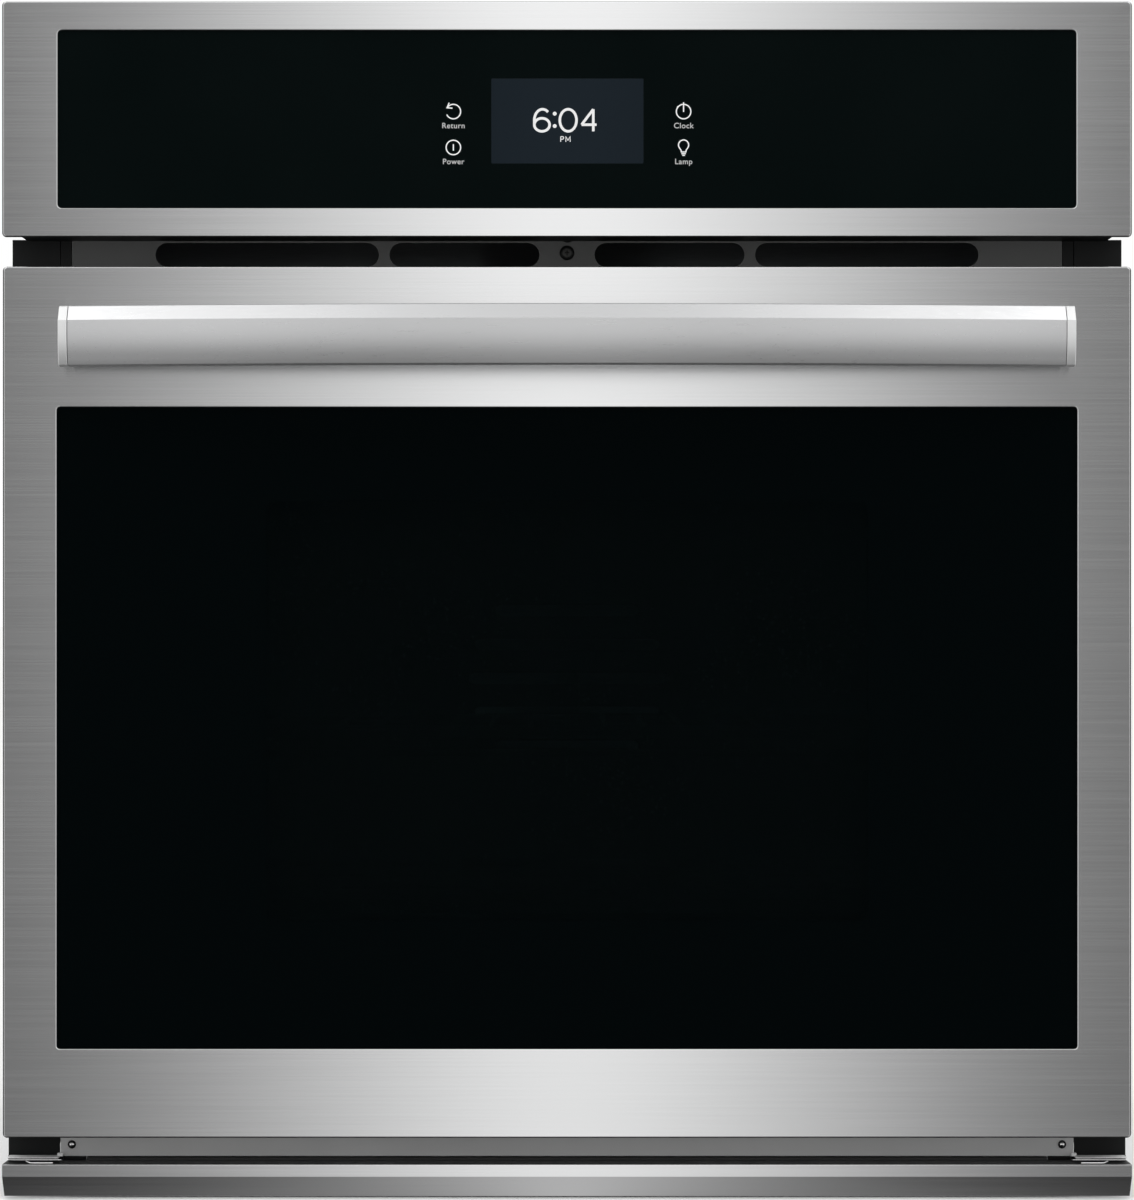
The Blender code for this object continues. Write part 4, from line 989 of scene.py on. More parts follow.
def ribbon(build, points, width, y, thickness):
    """A flat stroke of an even width along (x, z) points."""
    spots = [Vector(point) for point in points]
    closed = (spots[0] - spots[-1]).length < 1e-7
    if closed:
        spots.pop()
    edges = []
    count = len(spots)
    for i, spot in enumerate(spots):
        before = spots[i - 1] if closed or i else spot
        after = spots[(i + 1) % count] if closed or i < count - 1 else spot
        first = (spot - before).normalized() if (spot - before).length else (after - spot).normalized()
        second = (after - spot).normalized() if (after - spot).length else first
        along = (first + second).normalized()
        across = Vector((-along.y, along.x))
        reach = width / 2 / max(0.5, along.dot(first))
        edges.append((spot + across * reach, spot - across * reach))
    rings = []
    for left, right in edges:
        corners = ((left, y), (right, y), (right, y + thickness), (left, y + thickness))
        rings.append([build.verts.new((p.x, depth, p.y)) for p, depth in corners])
    pairs = list(zip(rings, rings[1:]))
    if closed:
        pairs.append((rings[-1], rings[0]))
    for near, far in pairs:
        for i in range(4):
            build.faces.new((near[i - 1], near[i], far[i], far[i - 1]))
    if not closed:
        build.faces.new(rings[0])
        build.faces.new(rings[-1])


def strokes_piece(name, strokes, width, material, layer):
    build = bmesh.new()
    y = print_plane(layer)
    for points in strokes:
        ribbon(build, points, width, y, PRINT_STEP / 2)
    mesh = mesh_from(name, build)
    add_piece(name, mesh, material, "chassis", even_normals=False)


def placed(strokes, x, z, size):
    return [[(x + size * right, z + size * up) for right, up in points] for points in strokes]


# Plain characters as (width, strokes), for a height of 1
BOWL = 0.315
CHARACTERS = {
    "6": (
        2.2 * BOWL,
        [
            [*oval((1.18 * BOWL, 0.5), (1.18 * BOWL, 0.5), 48, 180, 24), (0, 0.94 * BOWL)],
            oval((1.1 * BOWL, 0.94 * BOWL), (1.1 * BOWL, 0.94 * BOWL), steps=40),
        ],
    ),
    "0": (2.4 * BOWL, [oval((1.2 * BOWL, 0.5), (1.2 * BOWL, 0.5), steps=48)]),
    "4": (
        2.15 * BOWL,
        [
            [(1.68 * BOWL, 1), (0, 0.30)],
            [(0, 0.30), (2.15 * BOWL, 0.30)],
            [(1.68 * BOWL, 0), (1.68 * BOWL, 1)],
        ],
    ),
    ":": (0, [oval((0, level), (0.030, 0.030), steps=12) for level in (0.24, 0.80)]),
    "P": (
        1.9 * BOWL,
        [[(0, 0), (0, 1)], [(0, 1), (BOWL, 1), *oval((BOWL, 0.75), (0.25, 0.25), 90, -90, 10), (0, 0.5)]],
    ),
    "M": (2.6 * BOWL, [[(0, 0), (0, 1), (1.3 * BOWL, 0.3), (2.6 * BOWL, 1), (2.6 * BOWL, 0)]]),
}


def line_of_text(text, centre_x, base, height, gap):
    widths = [CHARACTERS[shape][0] * height for shape in text]
    left = centre_x - (sum(widths) + gap * (len(text) - 1)) / 2
    strokes = []
    for shape, width in zip(text, widths):
        strokes += placed(CHARACTERS[shape][1], left, base, height)
        left += width + gap
    return strokes


KEY_X = (-0.0690, 0.0708)
KEY_Z = (0.6601, 0.6383)
ICON_RADIUS = 0.0044
ICON_STROKE = 0.00072
CAPTION_DROP = 0.0101
CAPTION_SIZE = 0.0047
# Line drawings, for a radius of 1
BULB = oval((0, 0.34), (0.70, 0.70), -38, 218, 30)
ICONS = {
    "return": [
        oval((0, 0), (1, 1), 145, -155, 30),
        [(-0.58, 1.22), (-0.88, 0.52), (-0.12, 0.47)],
    ],
    "power": [oval((0, 0), (1, 1)), [(0, -0.45), (0, 0.45)]],
    "clock": [oval((0, 0), (1, 1)), [(0, -0.05), (0, 1.28)], [(-0.72, 0.72), (-0.90, 0.62)]],
    "lamp": [
        [(0.32, -0.62), (0.36, -0.35), *BULB, (-0.36, -0.35), (-0.32, -0.62), (0.32, -0.62)],
        [(-0.30, -0.86), (0.30, -0.86)],
        [(-0.18, -1.08), (0.18, -1.08)],
    ],
}


def caption(name, text, x, z, material):
    curve = bpy.data.curves.new(name, "FONT")
    curve.body = text
    curve.size = CAPTION_SIZE
    curve.align_x = "CENTER"
    curve.extrude = PRINT_STEP / 4
    curve.space_character = 1.08
    curve.offset = 0.00005
    obj = add_piece(name, curve, material, "chassis")
    place = Matrix.Translation((x, print_plane(1), z))
    obj.matrix_world = place @ Matrix.Rotation(math.pi / 2, 4, "X")


def make_display(screen, bright, dim):
    build = bmesh.new()
    planes = (print_plane(1), print_plane(0))
    rounded_slab(build, DISPLAY_X, DISPLAY_Z, 0.0004, *planes, PRINT_STEP / 2, 2)
    mesh = mesh_from("display_face", build)
    add_piece("display_face", mesh, screen, "chassis")
    middle = sum(DISPLAY_X) / 2 - 0.0012
    digits = line_of_text("6:04", middle, 0.6481, 0.0134, 0.0031)
    strokes_piece("clock_digits", digits, 0.00155, bright, 2)
    letters = line_of_text("PM", middle, 0.6417, 0.0032, 0.0012)
    strokes_piece("clock_half_day", letters, 0.00050, bright, 2)
    for i, shape in enumerate(ICONS):
        x = KEY_X[i // 2]
        z = KEY_Z[i % 2]
        strokes = placed(ICONS[shape], x, z, ICON_RADIUS)
        strokes_piece("icon_" + shape, strokes, ICON_STROKE, bright, 1)
        caption("caption_" + shape, shape.capitalize(), x, z - CAPTION_DROP, dim)


# ---- Handle

HANDLE_BOW = 0.0250
HANDLE_DEPTH = 0.0140
HANDLE_STEPS = 96
CREASE_ABOVE = 0.0095
FRONT_CURVE = 0.0046
FRONT_STEPS = 12
POST_INNER_X = 0.2750
POST_REACH = 0.0137


def handle_section(half_height):
    """(behind, above) points: a sloping top facet, a crease, and a front that curves back below."""
    low = -half_height
    outline = [(HANDLE_DEPTH, half_height - 0.0015), (0.0090, half_height)]
    outline += [(0.0076, half_height - 0.0004), (0, CREASE_ABOVE)]
    for i in range(1, FRONT_STEPS + 1):
        fall = i / FRONT_STEPS
        above = CREASE_ABOVE + (low + 0.001 - CREASE_ABOVE) * fall
        outline.append((FRONT_CURVE * fall**3.6, above))
    return outline + [(0.0085, low), (HANDLE_DEPTH, low + 0.0015)]


def make_grip(lit_steels, half, front, middle_z, half_height):
    """The bowed grip, with lit and shaded copies of the steel for its front, its top facet and its back,
    as painted light.
    """
    radius = (half**2 + HANDLE_BOW**2) / (2 * HANDLE_BOW)
    centre_y = front + radius
    section = rounded_corners(handle_section(half_height), 0.00045, 3)
    loops = []
    for i in range(HANDLE_STEPS + 1):
        x = half * (2 * i / HANDLE_STEPS - 1)
        loop = []
        for behind, above in section:
            loop.append((x, centre_y - math.sqrt((radius - behind) ** 2 - x**2), middle_z + above))
        loops.append(loop)
    build = bmesh.new()
    capped_skin(build, loops)
    mesh = mesh_from("handle_grip", build, 20)

    def lit_steel_number(normal, middle):
        if normal.y > 0.3 or normal.z < -0.9:
            return 2
        return normal.z > 0.35

    paint_faces(mesh, lit_steels, lit_steel_number)
    add_piece("handle_grip", mesh, lit_steels[0], "door", ["handle_bar"])


def make_handle(lit_steels, cap_steel):
    """The grip, and at each end a cap with a post that meets the door."""
    low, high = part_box("handle_bar")
    half = high.x
    middle_z = (low.z + high.z) / 2
    half_height = (high.z - low.z) / 2
    make_grip(lit_steels, half, low.y, middle_z, half_height)
    end_reach = FACE_Y - low.y - HANDLE_BOW
    for label, side in SIDES:
        cap_low, cap_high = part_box(label + "_handle_mount")
        outline = [(at(-FIT), cap_low.z + 0.002), (at(-FIT), cap_high.z - 0.001)]
        for behind, above in handle_section(half_height)[1:-1]:
            outline.append((at(behind - end_reach), middle_z + above))
        outer = cap_high.x if side > 0 else cap_low.x
        cap = prism_mesh(rounded_corners(outline, 0.0006, 3), 0, side * (half + FIT), outer)
        edges = {"segments": 3, "limit_method": "ANGLE", "angle_limit": 1.0}
        cap = with_modifier(cap, "BEVEL", width=0.0007, **edges)
        post_x = (POST_INNER_X, half + FIT + 0.0012)
        post_z = (cap_low.z + 0.004, cap_high.z - 0.003)
        post = block(side, post_x, (-POST_REACH, -FIT), post_z)
        post = with_modifier(post, "BEVEL", width=0.0025, segments=4, limit_method="ANGLE")
        mesh = combined(cap, [post], "UNION", 30)
        name = label + "_handle_cap"
        add_piece(name, mesh, cap_steel, "door", [label + "_handle_mount"])


# ---- Screws

BLADE_WIDTH = 0.26
HEX_HEIGHT = 0.0034
HEX_ABOVE = 0.0004
SCREW_TURN = 0.7


def cross_recess(size, top, depth):
    """Two tapered blades that cut a cross-shaped recess."""
    blades = []
    for turn in (0, math.pi / 2):
        build = bmesh.new()
        cone = {"segments": 4, "radius1": size * 0.35, "radius2": size, "depth": depth * 2}
        bmesh.ops.create_cone(build, cap_ends=True, **cone)
        mesh = mesh_from("blade", build)
        mesh.transform(Matrix.Rotation(math.pi / 4, 4, "Z"))
        mesh.transform(Matrix.Diagonal((1.0, BLADE_WIDTH, 1.0, 1.0)))
        mesh.transform(Matrix.Translation((0, 0, top)) @ Matrix.Rotation(turn, 4, "Z"))
        blades.append(mesh)
    return blades


def pan_screw(name, radius, height):
    """A domed screw head on the plane z = 0, with a cross recess."""
    profile = [(0, height)]
    for i in range(1, 8):
        angle = math.pi / 2 * i / 7
        profile.append((radius * math.sin(angle), height * (0.15 + 0.85 * math.cos(angle))))
    head = turned_mesh(name, [*profile, (radius, 0), (0, 0)], 28)
    recess = cross_recess(radius * 0.62, height * 1.05, height * 0.62)
    return combined(head, recess, "DIFFERENCE", 30)


def hex_screw(name, radius):
    """A hexagon-head sheet-metal screw with its washer flange, on the plane z = 0."""
    flange = [(0, 0.0009), (radius * 0.95, 0.0009), (radius * 1.30, 0.0006)]
    flange += [(radius * 1.36, 0.0002), (radius * 1.36, 0), (0, 0)]
    build = bmesh.new()
    cone = {"segments": 6, "radius1": radius, "radius2": radius, "depth": HEX_HEIGHT}
    bmesh.ops.create_cone(build, cap_ends=True, **cone)
    bmesh.ops.translate(build, vec=(0, 0, HEX_HEIGHT / 2 + HEX_ABOVE), verts=build.verts)
    hexagon = mesh_from("hexagon", build)
    hexagon = with_modifier(hexagon, "BEVEL", width=0.0003, segments=2, limit_method="ANGLE")
    return combined(turned_mesh(name, flange, 24), [hexagon], "UNION", 25)


FACINGS = {
    "front": Matrix.Rotation(math.pi / 2, 4, "X"),
    "rear": Matrix.Rotation(-math.pi / 2, 4, "X"),
    "right": Matrix.Rotation(math.pi / 2, 4, "Y"),
    "left": Matrix.Rotation(-math.pi / 2, 4, "Y"),
    "up": Matrix.Identity(4),
}


def screws_piece(name, screw, places, facing, material, replaced=()):
    """Copies of one screw at several places, each turned a little further than the last."""
    build = bmesh.new()
    for i, spot in enumerate(places):
        copy = screw.copy()
        turn = Matrix.Rotation(SCREW_TURN * i, 4, "Z")
        copy.transform(Matrix.Translation(spot) @ FACINGS[facing] @ turn)
        build.from_mesh(copy)
        bpy.data.meshes.remove(copy)
    mesh = bpy.data.meshes.new(name)
    build.to_mesh(mesh)
    build.free()
    return add_piece(name, mesh, material, "chassis", replaced)


# ---- Vent gap, lower strip and trim

VENT_GAP_SHADE_OUTER = 0.3109
VENT_SCREW_GAP = 0.0108
STRIP_SCREW_X = 0.3040
STRIP_SCREW_Z = 0.0293
TRIM_OUTER = ((0.0300, 0.0200), (0, 0.0208), (0, 0.0134), (0.0120, 0.0001))
TRIM_BLACK_BEHIND = 0.0270
TRIM_EDGE = 0.0012
TAB_X = (0.2955, 0.3092)
TAB_DEPTHS = (0.0280, 0.0360)
TAB_Z = (0.0188, 0.0200)
UPRIGHT_DEPTHS = (0.0348, 0.0360)
UPRIGHT_Z = (0.0188, 0.0350)
SHADE_STRIP_OUTLINE = (
    (0.0305, 0.0204), (0.0340, 0.0192), (0.0360, 0.0196), (0.0360, 0.0217), (0.0312, 0.0217),
)
SHADE_STRIP_HALF = 0.2945
WIRE_ROUTE = ((0.3297, 0.0125), (0.3262, 0.0035), (0.3125, 0.0035))
WIRE_Z = 0.0214


def make_vent_gap_shades(shade_finish):
    """A black block between each end of the vent panel and the mounting flange: painted shade that darkens
    the gap.
    """
    low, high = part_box("vent_panel")
    for label, side in SIDES:
        x = sorted((side * (high.x + 0.0004), side * VENT_GAP_SHADE_OUTER))
        shade_block = box_mesh(x, (low.y + 0.0003, high.y), (low.z, high.z))
        add_piece(label + "_vent_gap_shade", shade_block, shade_finish, "chassis")


def make_vent_screws(face_paint, rim_shade_paint):
    """Two screws whose dome slopes and recess are painted dark as painted shade, round a greyer face."""
    low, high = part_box("vent_screw")
    radius = (high.x - low.x) / 2
    middle_z = (low.z + high.z) / 2
    head = pan_screw("vent_screw_head", radius, 0.0021)

    def shaded(normal, middle):
        return normal.z < 0.80 or math.hypot(middle.x, middle.y) > 0.66 * radius

    paint_faces(head, (face_paint, rim_shade_paint), shaded)
    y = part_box("vent_panel")[0].y - FIT / 2
    places = [(0, y, middle_z), (0.0004, y, middle_z + VENT_SCREW_GAP)]
    screws = screws_piece("vent_screws", head, places, "front", face_paint, ["vent_screw"])
    screws.data.materials.append(rim_shade_paint)


def make_strip_screws(bright, black):
    """A bright screw at each end of the lower strip, on a black cupped washer."""
    head = pan_screw("strip_screw_head", 0.0016, 0.0011)
    ring = [(0, 0.0003), (0.0014, 0.0003), (0.0018, 0.0007), (0.0022, 0.0007)]
    washer = turned_mesh("strip_screw_washer", [*ring, (0.0025, 0.0003), (0.0025, 0), (0, 0)], 28)
    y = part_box("lower_front_strip")[0].y - FIT / 2
    places = [(side * STRIP_SCREW_X, y, STRIP_SCREW_Z) for _, side in SIDES]
    screws_piece("strip_washers", washer, places, "front", black)
    heads = [(x, y - 0.0002, z) for x, y, z in places]
    screws_piece("strip_screws", head, heads, "front", bright)


def folded_sheet(outer):
    """The closed outline of a sheet that follows an open outline, on its inner side."""
    outer = [Vector(point) for point in outer]
    inner = []
    for i, spot in enumerate(outer):
        before = (spot - outer[i - 1]).normalized() if i else (outer[1] - spot).normalized()
        after = (outer[i + 1] - spot).normalized() if i < len(outer) - 1 else before
        along = (before + after).normalized()
        across = Vector((-along.y, along.x))
        inner.append(spot + across * SHEET / along.dot(before))
    return [tuple(point) for point in [*outer, *reversed(inner)]]


def make_bottom_trim(steel, dark, slanted):
    """A folded trim: a shelf, a narrow front and a slanted lower face, with tabs at its ends."""
    low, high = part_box("bottom_trim")
    outline = rounded_corners(folded_sheet(TRIM_OUTER), 0.0005)
    trim = prism_mesh([(at(depth), z) for depth, z in outline], 0, low.x, high.x)
    tabs = []
    for _, side in SIDES:
        tabs.append(block(side, TAB_X, TAB_DEPTHS, TAB_Z))
        tabs.append(block(side, TAB_X, UPRIGHT_DEPTHS, UPRIGHT_Z))
    mesh = combined(trim, tabs, "UNION", 30)
    mesh.name = "bottom_trim_skin"

    # The slanted face takes the steel with painted shade towards its ends; the shelf's top and the part
    # behind TRIM_BLACK_BEHIND take the black finish.
    def finish_number(normal, middle):
        if normal.y < -0.3 and normal.z < -0.3:
            return 2
        on_top = normal.z > 0.9 and middle.y > at(TRIM_EDGE)
        return on_top or middle.y > at(TRIM_BLACK_BEHIND)

    paint_faces(mesh, (steel, dark, slanted), finish_number)
    add_piece("bottom_trim_skin", mesh, steel, "chassis", ["bottom_trim"])


def make_lower_gap_shade(shade_finish):
    """A near-black strip, as painted shade, that closes the space between the lower strip and the trim."""
    profile = [(at(depth), z) for depth, z in rounded_corners(SHADE_STRIP_OUTLINE, 0.0006)]
    shade_block = prism_mesh(profile, 0, -SHADE_STRIP_HALF, SHADE_STRIP_HALF)
    add_piece("lower_shade_strip", shade_block, shade_finish, "chassis")


def make_trim_brackets(pale, dark):
    """At each end, a pale bracket and a thin wire on the trim's shelf, and a black foot behind."""
    for label, side in SIDES:
        plate = block(side, (0.3105, 0.3418), (0.0165, 0.0294), (0.0226, 0.0231))
        tab = block(side, (0.3090, 0.3122), (0.0262, 0.0294), (0.0226, 0.0246))
        mesh = combined(plate, [tab], "UNION", 30)
        mesh = with_modifier(mesh, "BEVEL", width=0.0001, segments=2, limit_method="ANGLE")
        add_piece(label + "_trim_bracket", mesh, pale, "chassis")
        foot = block(side, (0.3092, 0.3427), (0.0298, 0.0310), (0.0203, 0.0229))
        add_piece(label + "_trim_foot", foot, dark, "chassis")
        route = turned_path([(side * x, at(depth), WIRE_Z) for x, depth in WIRE_ROUTE], 0.0010)
        wire = wire_curve(label + "_trim_wire", [(route, False)], 0.00035)
        add_piece(label + "_trim_wire", wire, pale, "chassis")


# ---- Racks, elements and gasket

RIM_RADIUS = 0.0030
ROD_RADIUS = 0.0018
BAR_RADIUS = 0.0023
RODS = 21
RODS_HALF = 0.2440
BAR_DEPTHS = (0.1270, 0.2570)
RAIL_HALF = 0.2
RAIL_DROP = 0.0120


def make_rack(label, chrome):
    """A rim, front-to-rear rods laid over cross bars, and a dropped front rail."""
    node = label + "_rack"
    low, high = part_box(node)
    half = high.x - RIM_RADIUS
    front = low.y + RIM_RADIUS
    rear = high.y - RIM_RADIUS
    z = high.z - 0.0044
    corners = [(-half, front, z), (half, front, z), (half, rear, z), (-half, rear, z)]
    rim = (turned_path(corners, 0.0150, closed=True), True)
    curve = wire_curve(label + "_rack_rim", [rim], RIM_RADIUS, 5)
    add_piece(label + "_rack_rim", curve, chrome, node, [node])
    rods = []
    for i in range(RODS):
        x = RODS_HALF * (2 * i / (RODS - 1) - 1)
        rods.append(([(x, front + 0.0005, z + 0.0026), (x, rear - 0.0005, z + 0.0026)], False))
    curve = wire_curve(label + "_rack_rods", rods, ROD_RADIUS)
    add_piece(label + "_rack_rods", curve, chrome, node)
    bars = []
    for depth in BAR_DEPTHS:
        bars.append(([(x, front + depth, z - 0.0004) for x in (-half, half)], False))
    rail = [(-RAIL_HALF, 0), (-RAIL_HALF, RAIL_DROP), (RAIL_HALF, RAIL_DROP), (RAIL_HALF, 0)]
    rail = [(x, front + 0.0005, z - drop) for x, drop in rail]
    bars.append((turned_path(rail, 0.0060), False))
    curve = wire_curve(label + "_rack_bars", bars, BAR_RADIUS)
    add_piece(label + "_rack_bars", curve, chrome, node)


ELEMENT_RADIUS = 0.0035
ELEMENT_HALF = 0.186
ELEMENT_LEG_X = 0.0400
ELEMENT_BACK = 0.430
ELEMENT_REAR = 0.530
ELEMENTS = (("broil_element", 0.100, 0.360), ("bake_element", 0.090, 0.350))


def serpentine(z, front, turn):
    """An element's route: in at the rear on the left, to and fro, out on the right."""
    inner = ELEMENT_HALF * 0.58
    core = ELEMENT_HALF * 0.18
    right = [(ELEMENT_LEG_X, ELEMENT_REAR), (ELEMENT_LEG_X, ELEMENT_BACK)]
    right += [(ELEMENT_HALF, ELEMENT_BACK), (ELEMENT_HALF, front)]
    right += [(inner, front), (inner, turn), (core, turn), (core, front)]
    left = [(-x, depth) for x, depth in right]
    return turned_path([(x, at(depth), z) for x, depth in left + right[::-1]], 0.018)


def make_elements(sheath):
    for node, front, turn in ELEMENTS:
        low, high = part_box(node)
        route = serpentine((low.z + high.z) / 2, front, turn)
        curve = wire_curve(node + "_tube", [(route, False)], ELEMENT_RADIUS, 5)
        add_piece(node + "_tube", curve, sheath, "chassis", [node])


BRAID_PITCH = 0.0075
BRAID_STRANDS = 5
BRAID_RELIEF = 0.00030
BRAID_STEP = 0.00125
BRAID_SIDES = 22


def braid_relief(along, around):
    """How far the yarn stands out: two families of strands that wind opposite ways."""
    turn = FULL_TURN * along / BRAID_PITCH
    strands = [math.sin(turn + way * BRAID_STRANDS * around) for way in (1, -1)]
    return BRAID_RELIEF * (max(strands) - 1)


def make_gasket(braid):
    low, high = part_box("door_gasket")
    radius = (high.y - low.y) / 2
    y = low.y + radius
    x = (low.x + radius, high.x - radius)
    z = (low.z + radius, high.z - radius)
    corners = [(x[0], y, z[0]), (x[1], y, z[0]), (x[1], y, z[1]), (x[0], y, z[1])]
    spots = evenly_spaced(turned_path(corners, 0.0200, 12, closed=True), BRAID_STEP)
    step = (spots[1] - spots[0]).length
    loops = []
    count = len(spots)
    out = Vector((0, -1, 0))
    for i, spot in enumerate(spots):
        along = (spots[(i + 1) % count] - spots[i - 1]).normalized()
        across = along.cross(out)
        loop = []
        for k in range(BRAID_SIDES):
            around = FULL_TURN * k / BRAID_SIDES
            reach = radius + braid_relief(i * step, around)
            loop.append(spot + (across * math.cos(around) + out * math.sin(around)) * reach)
        loops.append(loop)
    build = bmesh.new()
    skin_faces(build, loops, closed=True)
    mesh = mesh_from("gasket_rope", build, 180)
    add_piece("gasket_rope", mesh, braid, "chassis", ["door_gasket"], False)


def evenly_spaced(outline, pitch):
    """Points at an even pitch round a closed outline."""
    closed = outline + outline[:1]
    lengths = [(b - a).length for a, b in zip(closed, closed[1:])]
    total = sum(lengths)
    count = round(total / pitch)
    points = []
    segment = 0
    passed = 0.0
    for i in range(count):
        target = total * i / count
        while passed + lengths[segment] < target:
            passed += lengths[segment]
            segment += 1
        share = (target - passed) / max(lengths[segment], 1e-12)
        points.append(closed[segment].lerp(closed[segment + 1], share))
    return points


# ---- Insulation


def make_wool(name, node, voxel, wool, body):
    """A wool blanket: the CAD solid remeshed, rounded and roughened inwards."""
    source = NODES[node].data.copy()
    source.materials.clear()
    build = bmesh.new()
    build.from_mesh(source)
    bmesh.ops.remove_doubles(build, verts=build.verts, dist=WELD)
    build.to_mesh(source)
    build.free()
    mesh = with_modifier(source, "REMESH", mode="VOXEL", voxel_size=voxel, use_smooth_shade=True)
    for vertex in mesh.vertices:
        lumps = 0.5 + 0.5 * noise.noise(vertex.co * 22)
        tufts = 0.5 + 0.5 * noise.noise(vertex.co * 130)
        vertex.co -= vertex.normal * (0.0006 + 0.0022 * lumps + 0.0012 * tufts)
    piece = add_piece(name, mesh, wool, body, [node], even_normals=False)


# ---- Sheet-metal detail on the chassis


def bead_loops(start, end, width, height, out, steps=9):
    """A pressed bead along a line: half-round across, with round ends."""
    start = Vector(start)
    end = Vector(end)
    along = (end - start).normalized()
    length = (end - start).length
    out = Vector(out)
    across = along.cross(out)
    places = [width * (1 - math.cos(math.pi / 2 * i / steps)) for i in range(steps + 1)]
    places += [length - place for place in reversed(places)]
    loops = []
    for place in places:
        from_end = min(place, length - place)
        share = math.sqrt(max(1 - (1 - min(from_end / width, 1)) ** 2, 0.0004))
        loop = []
        for k in range(13):
            angle = math.pi * k / 12
            lift = height * share * math.sin(angle) ** 1.6 - 0.0001
            loop.append(start + along * place + across * width * share * math.cos(angle) + out * lift)
        loops.append(loop)
    return loops


def beads_piece(name, lines, width, height, out, material):
    build = bmesh.new()
    for start, end in lines:
        capped_skin(build, bead_loops(start, end, width, height, out))
    mesh = mesh_from(name, build, 50)
    add_piece(name, mesh, material, "chassis", even_normals=False)


HEX_RADIUS = 0.0028
REAR_BEAD = (0.0085, 0.0034)
FLAT_BEAD = (0.0060, 0.0018)
SIDE_STEP = 0.0018
EDGE_SCREW_X = (-0.302, 0.302)


def detail_rear(hexagon, galvanised, screw_steel):
    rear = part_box("rear_panel")[1].y
    lines = [((x, rear, 0.100), (x, rear, 0.520)) for x in (-0.225, 0.0, 0.225)]
    lines += [((-0.265, rear, z), (0.265, rear, z)) for z in (0.560, 0.055)]
    beads_piece("rear_panel_beads", lines, *REAR_BEAD, (0, 1, 0), galvanised)
    places = [(x, rear, 0.030 + 0.158 * i) for x in EDGE_SCREW_X for i in range(5)]
    places += [(x, rear, z) for x in (-0.150, 0.0, 0.100) for z in (0.690, 0.014)]
    screws_piece("rear_panel_screws", hexagon, places, "rear", screw_steel)


def detail_side(label, side, hexagon, galvanised, screw_steel):
    low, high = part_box(label + "_side_panel")
    x = high.x if side > 0 else low.x
    lines = [((x, at(0.120), z), (x, at(0.560), z)) for z in (0.130, 0.320, 0.510)]
    lines.append(((x, at(0.120), 0.640), (x, at(0.380), 0.640)))
    beads_piece(label + "_side_beads", lines, *FLAT_BEAD, (side, 0, 0), galvanised)
    heights = [0.050 + 0.200 * i for i in range(4)]
    places = [(x + side * SIDE_STEP, at(0.0600), z) for z in heights]
    places += [(x, at(0.5980), z) for z in heights]
    screws_piece(label + "_side_screws", hexagon, places, label, screw_steel)


def detail_top(hexagon, galvanised, screw_steel):
    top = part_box("top_panel")[1].z
    lines = [((-0.255, at(0.100), top), (0.255, at(0.100), top))]
    lines.append(((-0.255, at(0.425), top), (0.155, at(0.425), top)))
    lines += [((x, at(0.150), top), (x, at(0.375), top)) for x in (-0.170, 0.170)]
    beads_piece("top_panel_beads", lines, *FLAT_BEAD, (0, 0, 1), galvanised)
    across = (-0.295, -0.100, 0.100, 0.295)
    places = [(x, at(depth), top) for depth in (0.050, 0.598) for x in across]
    places += [(x, at(depth), top) for x in EDGE_SCREW_X for depth in (0.200, 0.400)]
    screws_piece("top_panel_screws", hexagon, places, "up", screw_steel)


def make_chassis_detail(galvanised, screw_steel):
    """Pressed beads and sheet-metal screws on the outer panels and the junction cover."""
    metals = (hex_screw("chassis_screw", HEX_RADIUS), galvanised, screw_steel)
    detail_rear(*metals)
    for label, side in SIDES:
        detail_side(label, side, *metals)
    detail_top(*metals)
    low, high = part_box("junction_cover")
    corners = [(low.x + 0.012, high.y, high.z - 0.012), (high.x - 0.012, high.y, low.z + 0.012)]
    screws_piece("junction_cover_screws", metals[0], corners, "rear", screw_steel)


# ---- Make everything

make_camera()
make_world()
make_floor()
make_top_light()

SHEET_STEEL = ((0.575, 0.577, 0.580), (0.605, 0.607, 0.610), 0.145, 0.95)
STEEL = brushed_steel("brushed_steel", *SHEET_STEEL)
# The trim's slanted face: the same steel, darkened towards its ends as painted shade.
SLANT_STEEL_END_SHADED = brushed_steel("slanted_steel_end_shade", *SHEET_STEEL, painted_end_shade=0.5)
# Painted light on the handle: the front darkens towards the ends, the top facet brightens towards the
# ends, and the back is painted bright to lighten its reflection in the door.
GRIP_LIT_STEELS = (
    satin_steel("handle_front_shaded_steel", (0.615, 0.617, 0.622), (0.490, 0.492, 0.497), 0.30),
    satin_steel("facet_lit_steel", (0.530, 0.533, 0.538), (0.740, 0.742, 0.748), 0.30),
    satin_steel("handle_back_lit_steel", (0.900, 0.902, 0.905), (0.620, 0.622, 0.627), 0.40),
)
CAP_STEEL = satin_steel("cap_steel", (0.800, 0.804, 0.804), (0.800, 0.804, 0.804), 0.34)
PLATED = plated_steel("plated_steel", (0.40, 0.40, 0.41), (0.56, 0.56, 0.57), 0.32)
BRIGHT_SCREW = plated_steel("bright_screw", 0.78, 0.90, 0.25)
CHROME = plated_steel("chrome_wire", (0.62, 0.62, 0.63), (0.70, 0.70, 0.71), 0.16)
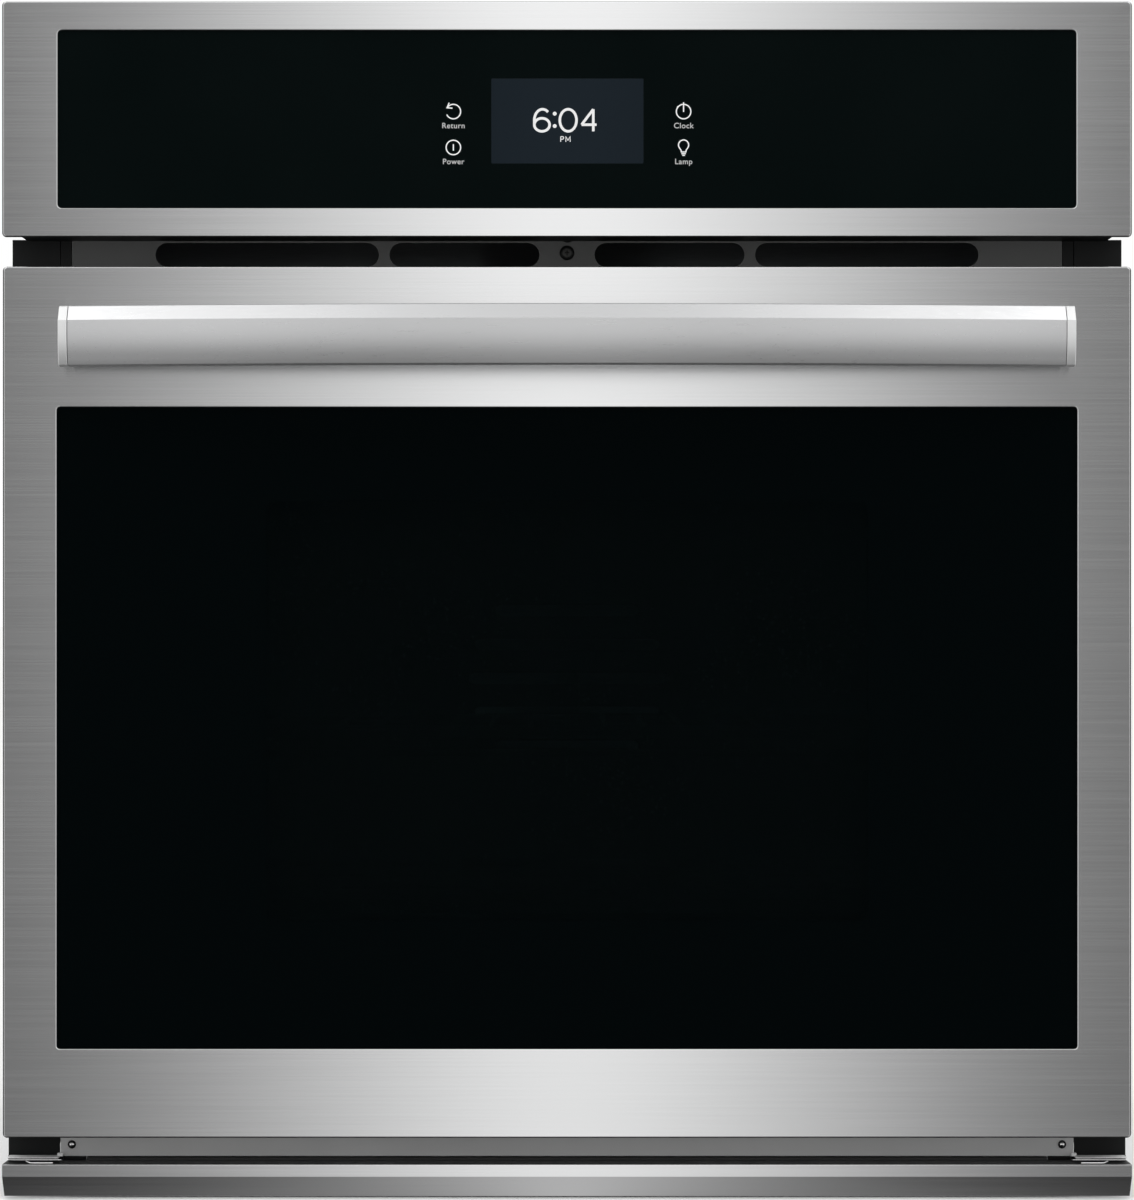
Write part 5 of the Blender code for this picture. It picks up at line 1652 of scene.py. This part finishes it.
# The black finish: real paint on the mounting flanges, and painted shade at the skins' outer bends, the
# panel's lower return, the vent gaps and the vent screws' rims. It also covers the strip washers and parts
# of the bottom trim.
BLACK_TINTS = ((0.005, 0.0055, 0.0055), (0.008, 0.0085, 0.0085))
BLACK_PAINT_AND_SHADE = painted_steel("black_paint_and_shade", *BLACK_TINTS, 0.45, 0.12)
VENT_PAINT = painted_steel("vent_paint", (0.080, 0.081, 0.080), (0.094, 0.095, 0.094), 0.50, 0.2)
STRIP_PAINT = painted_steel("strip_paint", 0.50, 0.56, 0.48)
BRACKET_PAINT = painted_steel("bracket_paint", 0.74, 0.80, 0.42)
SCREW_FACE = painted_steel("screw_face", (0.030, 0.030, 0.029), (0.040, 0.040, 0.039), 0.45, 0.2)
GALVANISED = galvanised_steel()
ENAMEL = speckled_enamel()
PANEL_TINTS = ((0.0017, 0.0031, 0.0031), (0.0021, 0.0036, 0.0036))
CONTROL_GLASS = gloss_glass("control_glass", *PANEL_TINTS)[0]
WINDOW_GLASS = window_glass()
CLEAR_GLASS = clear_glass()
DARK_PLASTIC = moulded_plastic("dark_plastic", (0.022, 0.022, 0.024), (0.034, 0.034, 0.036))
SHEATH = heater_sheath()
WOOL = mineral_wool()

make_control_panel(STEEL, BLACK_PAINT_AND_SHADE)
make_door_skin(STEEL, BLACK_PAINT_AND_SHADE)
make_display(display_face(), lit_print("bright_print", 0.78), lit_print("dim_print", 0.40))
make_handle(GRIP_LIT_STEELS, CAP_STEEL)
make_vent_gap_shades(BLACK_PAINT_AND_SHADE)
make_vent_screws(SCREW_FACE, BLACK_PAINT_AND_SHADE)
make_strip_screws(BRIGHT_SCREW, BLACK_PAINT_AND_SHADE)
make_bottom_trim(STEEL, BLACK_PAINT_AND_SHADE, SLANT_STEEL_END_SHADED)
# Painted shade: a near-black strip in the gap above the trim.
make_lower_gap_shade(moulded_plastic("shade_strip_black", 0.004, 0.008))
make_trim_brackets(BRACKET_PAINT, BLACK_PAINT_AND_SHADE)
for rack in ("upper", "lower"):
    make_rack(rack, CHROME)
make_elements(SHEATH)
make_gasket(glass_braid())
make_wool("insulation_blanket", "insulation_wrap", 0.0090, WOOL, "chassis")
make_wool("door_wool", "door_insulation", 0.0060, WOOL, "door")
make_chassis_detail(GALVANISED, PLATED)

# Each finish, its rounded edges and the carried-over nodes that have it
FINISHES = (
    (GALVANISED, 0.0003, "base_pan left_side_panel right_side_panel rear_panel top_panel"),
    (GALVANISED, 0.0003, "component_tray"),
    (GALVANISED, 0.0002, "air_duct control_board_cover junction_cover blower_housing blower_wheel"),
    (GALVANISED, 0.0002, "convection_fan latch_bracket left_hinge_receiver right_hinge_receiver"),
    (GALVANISED, 0.0002, "left_hinge_body right_hinge_body window_pack_frame"),
    (ENAMEL, 0.0004, "oven_cavity convection_cover door_liner"),
    (BLACK_PAINT_AND_SHADE, 0.0002, "left_mounting_flange right_mounting_flange"),
    (VENT_PAINT, 0.0002, "vent_panel"),
    (STRIP_PAINT, 0.0002, "lower_front_strip"),
    (CONTROL_GLASS, 0.0003, "control_glass"),
    (WINDOW_GLASS, 0, "door_outer_glass"),
    (CLEAR_GLASS, 0, "door_inner_glass door_middle_glass lamp_lens"),
    (DARK_PLASTIC, 0.0003, "display_module blower_motor door_switch"),
    (circuit_board(), 0.0001, "control_board relay_board"),
    (SHEATH, 0, "convection_element"),
    (CHROME, 0, "temperature_sensor"),
    (unglazed_ceramic(), 0.0003, "lamp_housing door_switch_plunger"),
    (PLATED, 0.0002, "conduit_connector convection_motor left_hinge_arm right_hinge_arm latch_hook"),
    (PLATED, 0, "left_hinge_spring right_hinge_spring"),
)
for finish, edge, names in FINISHES:
    for name in names.split():
        dress(name, finish, edge)
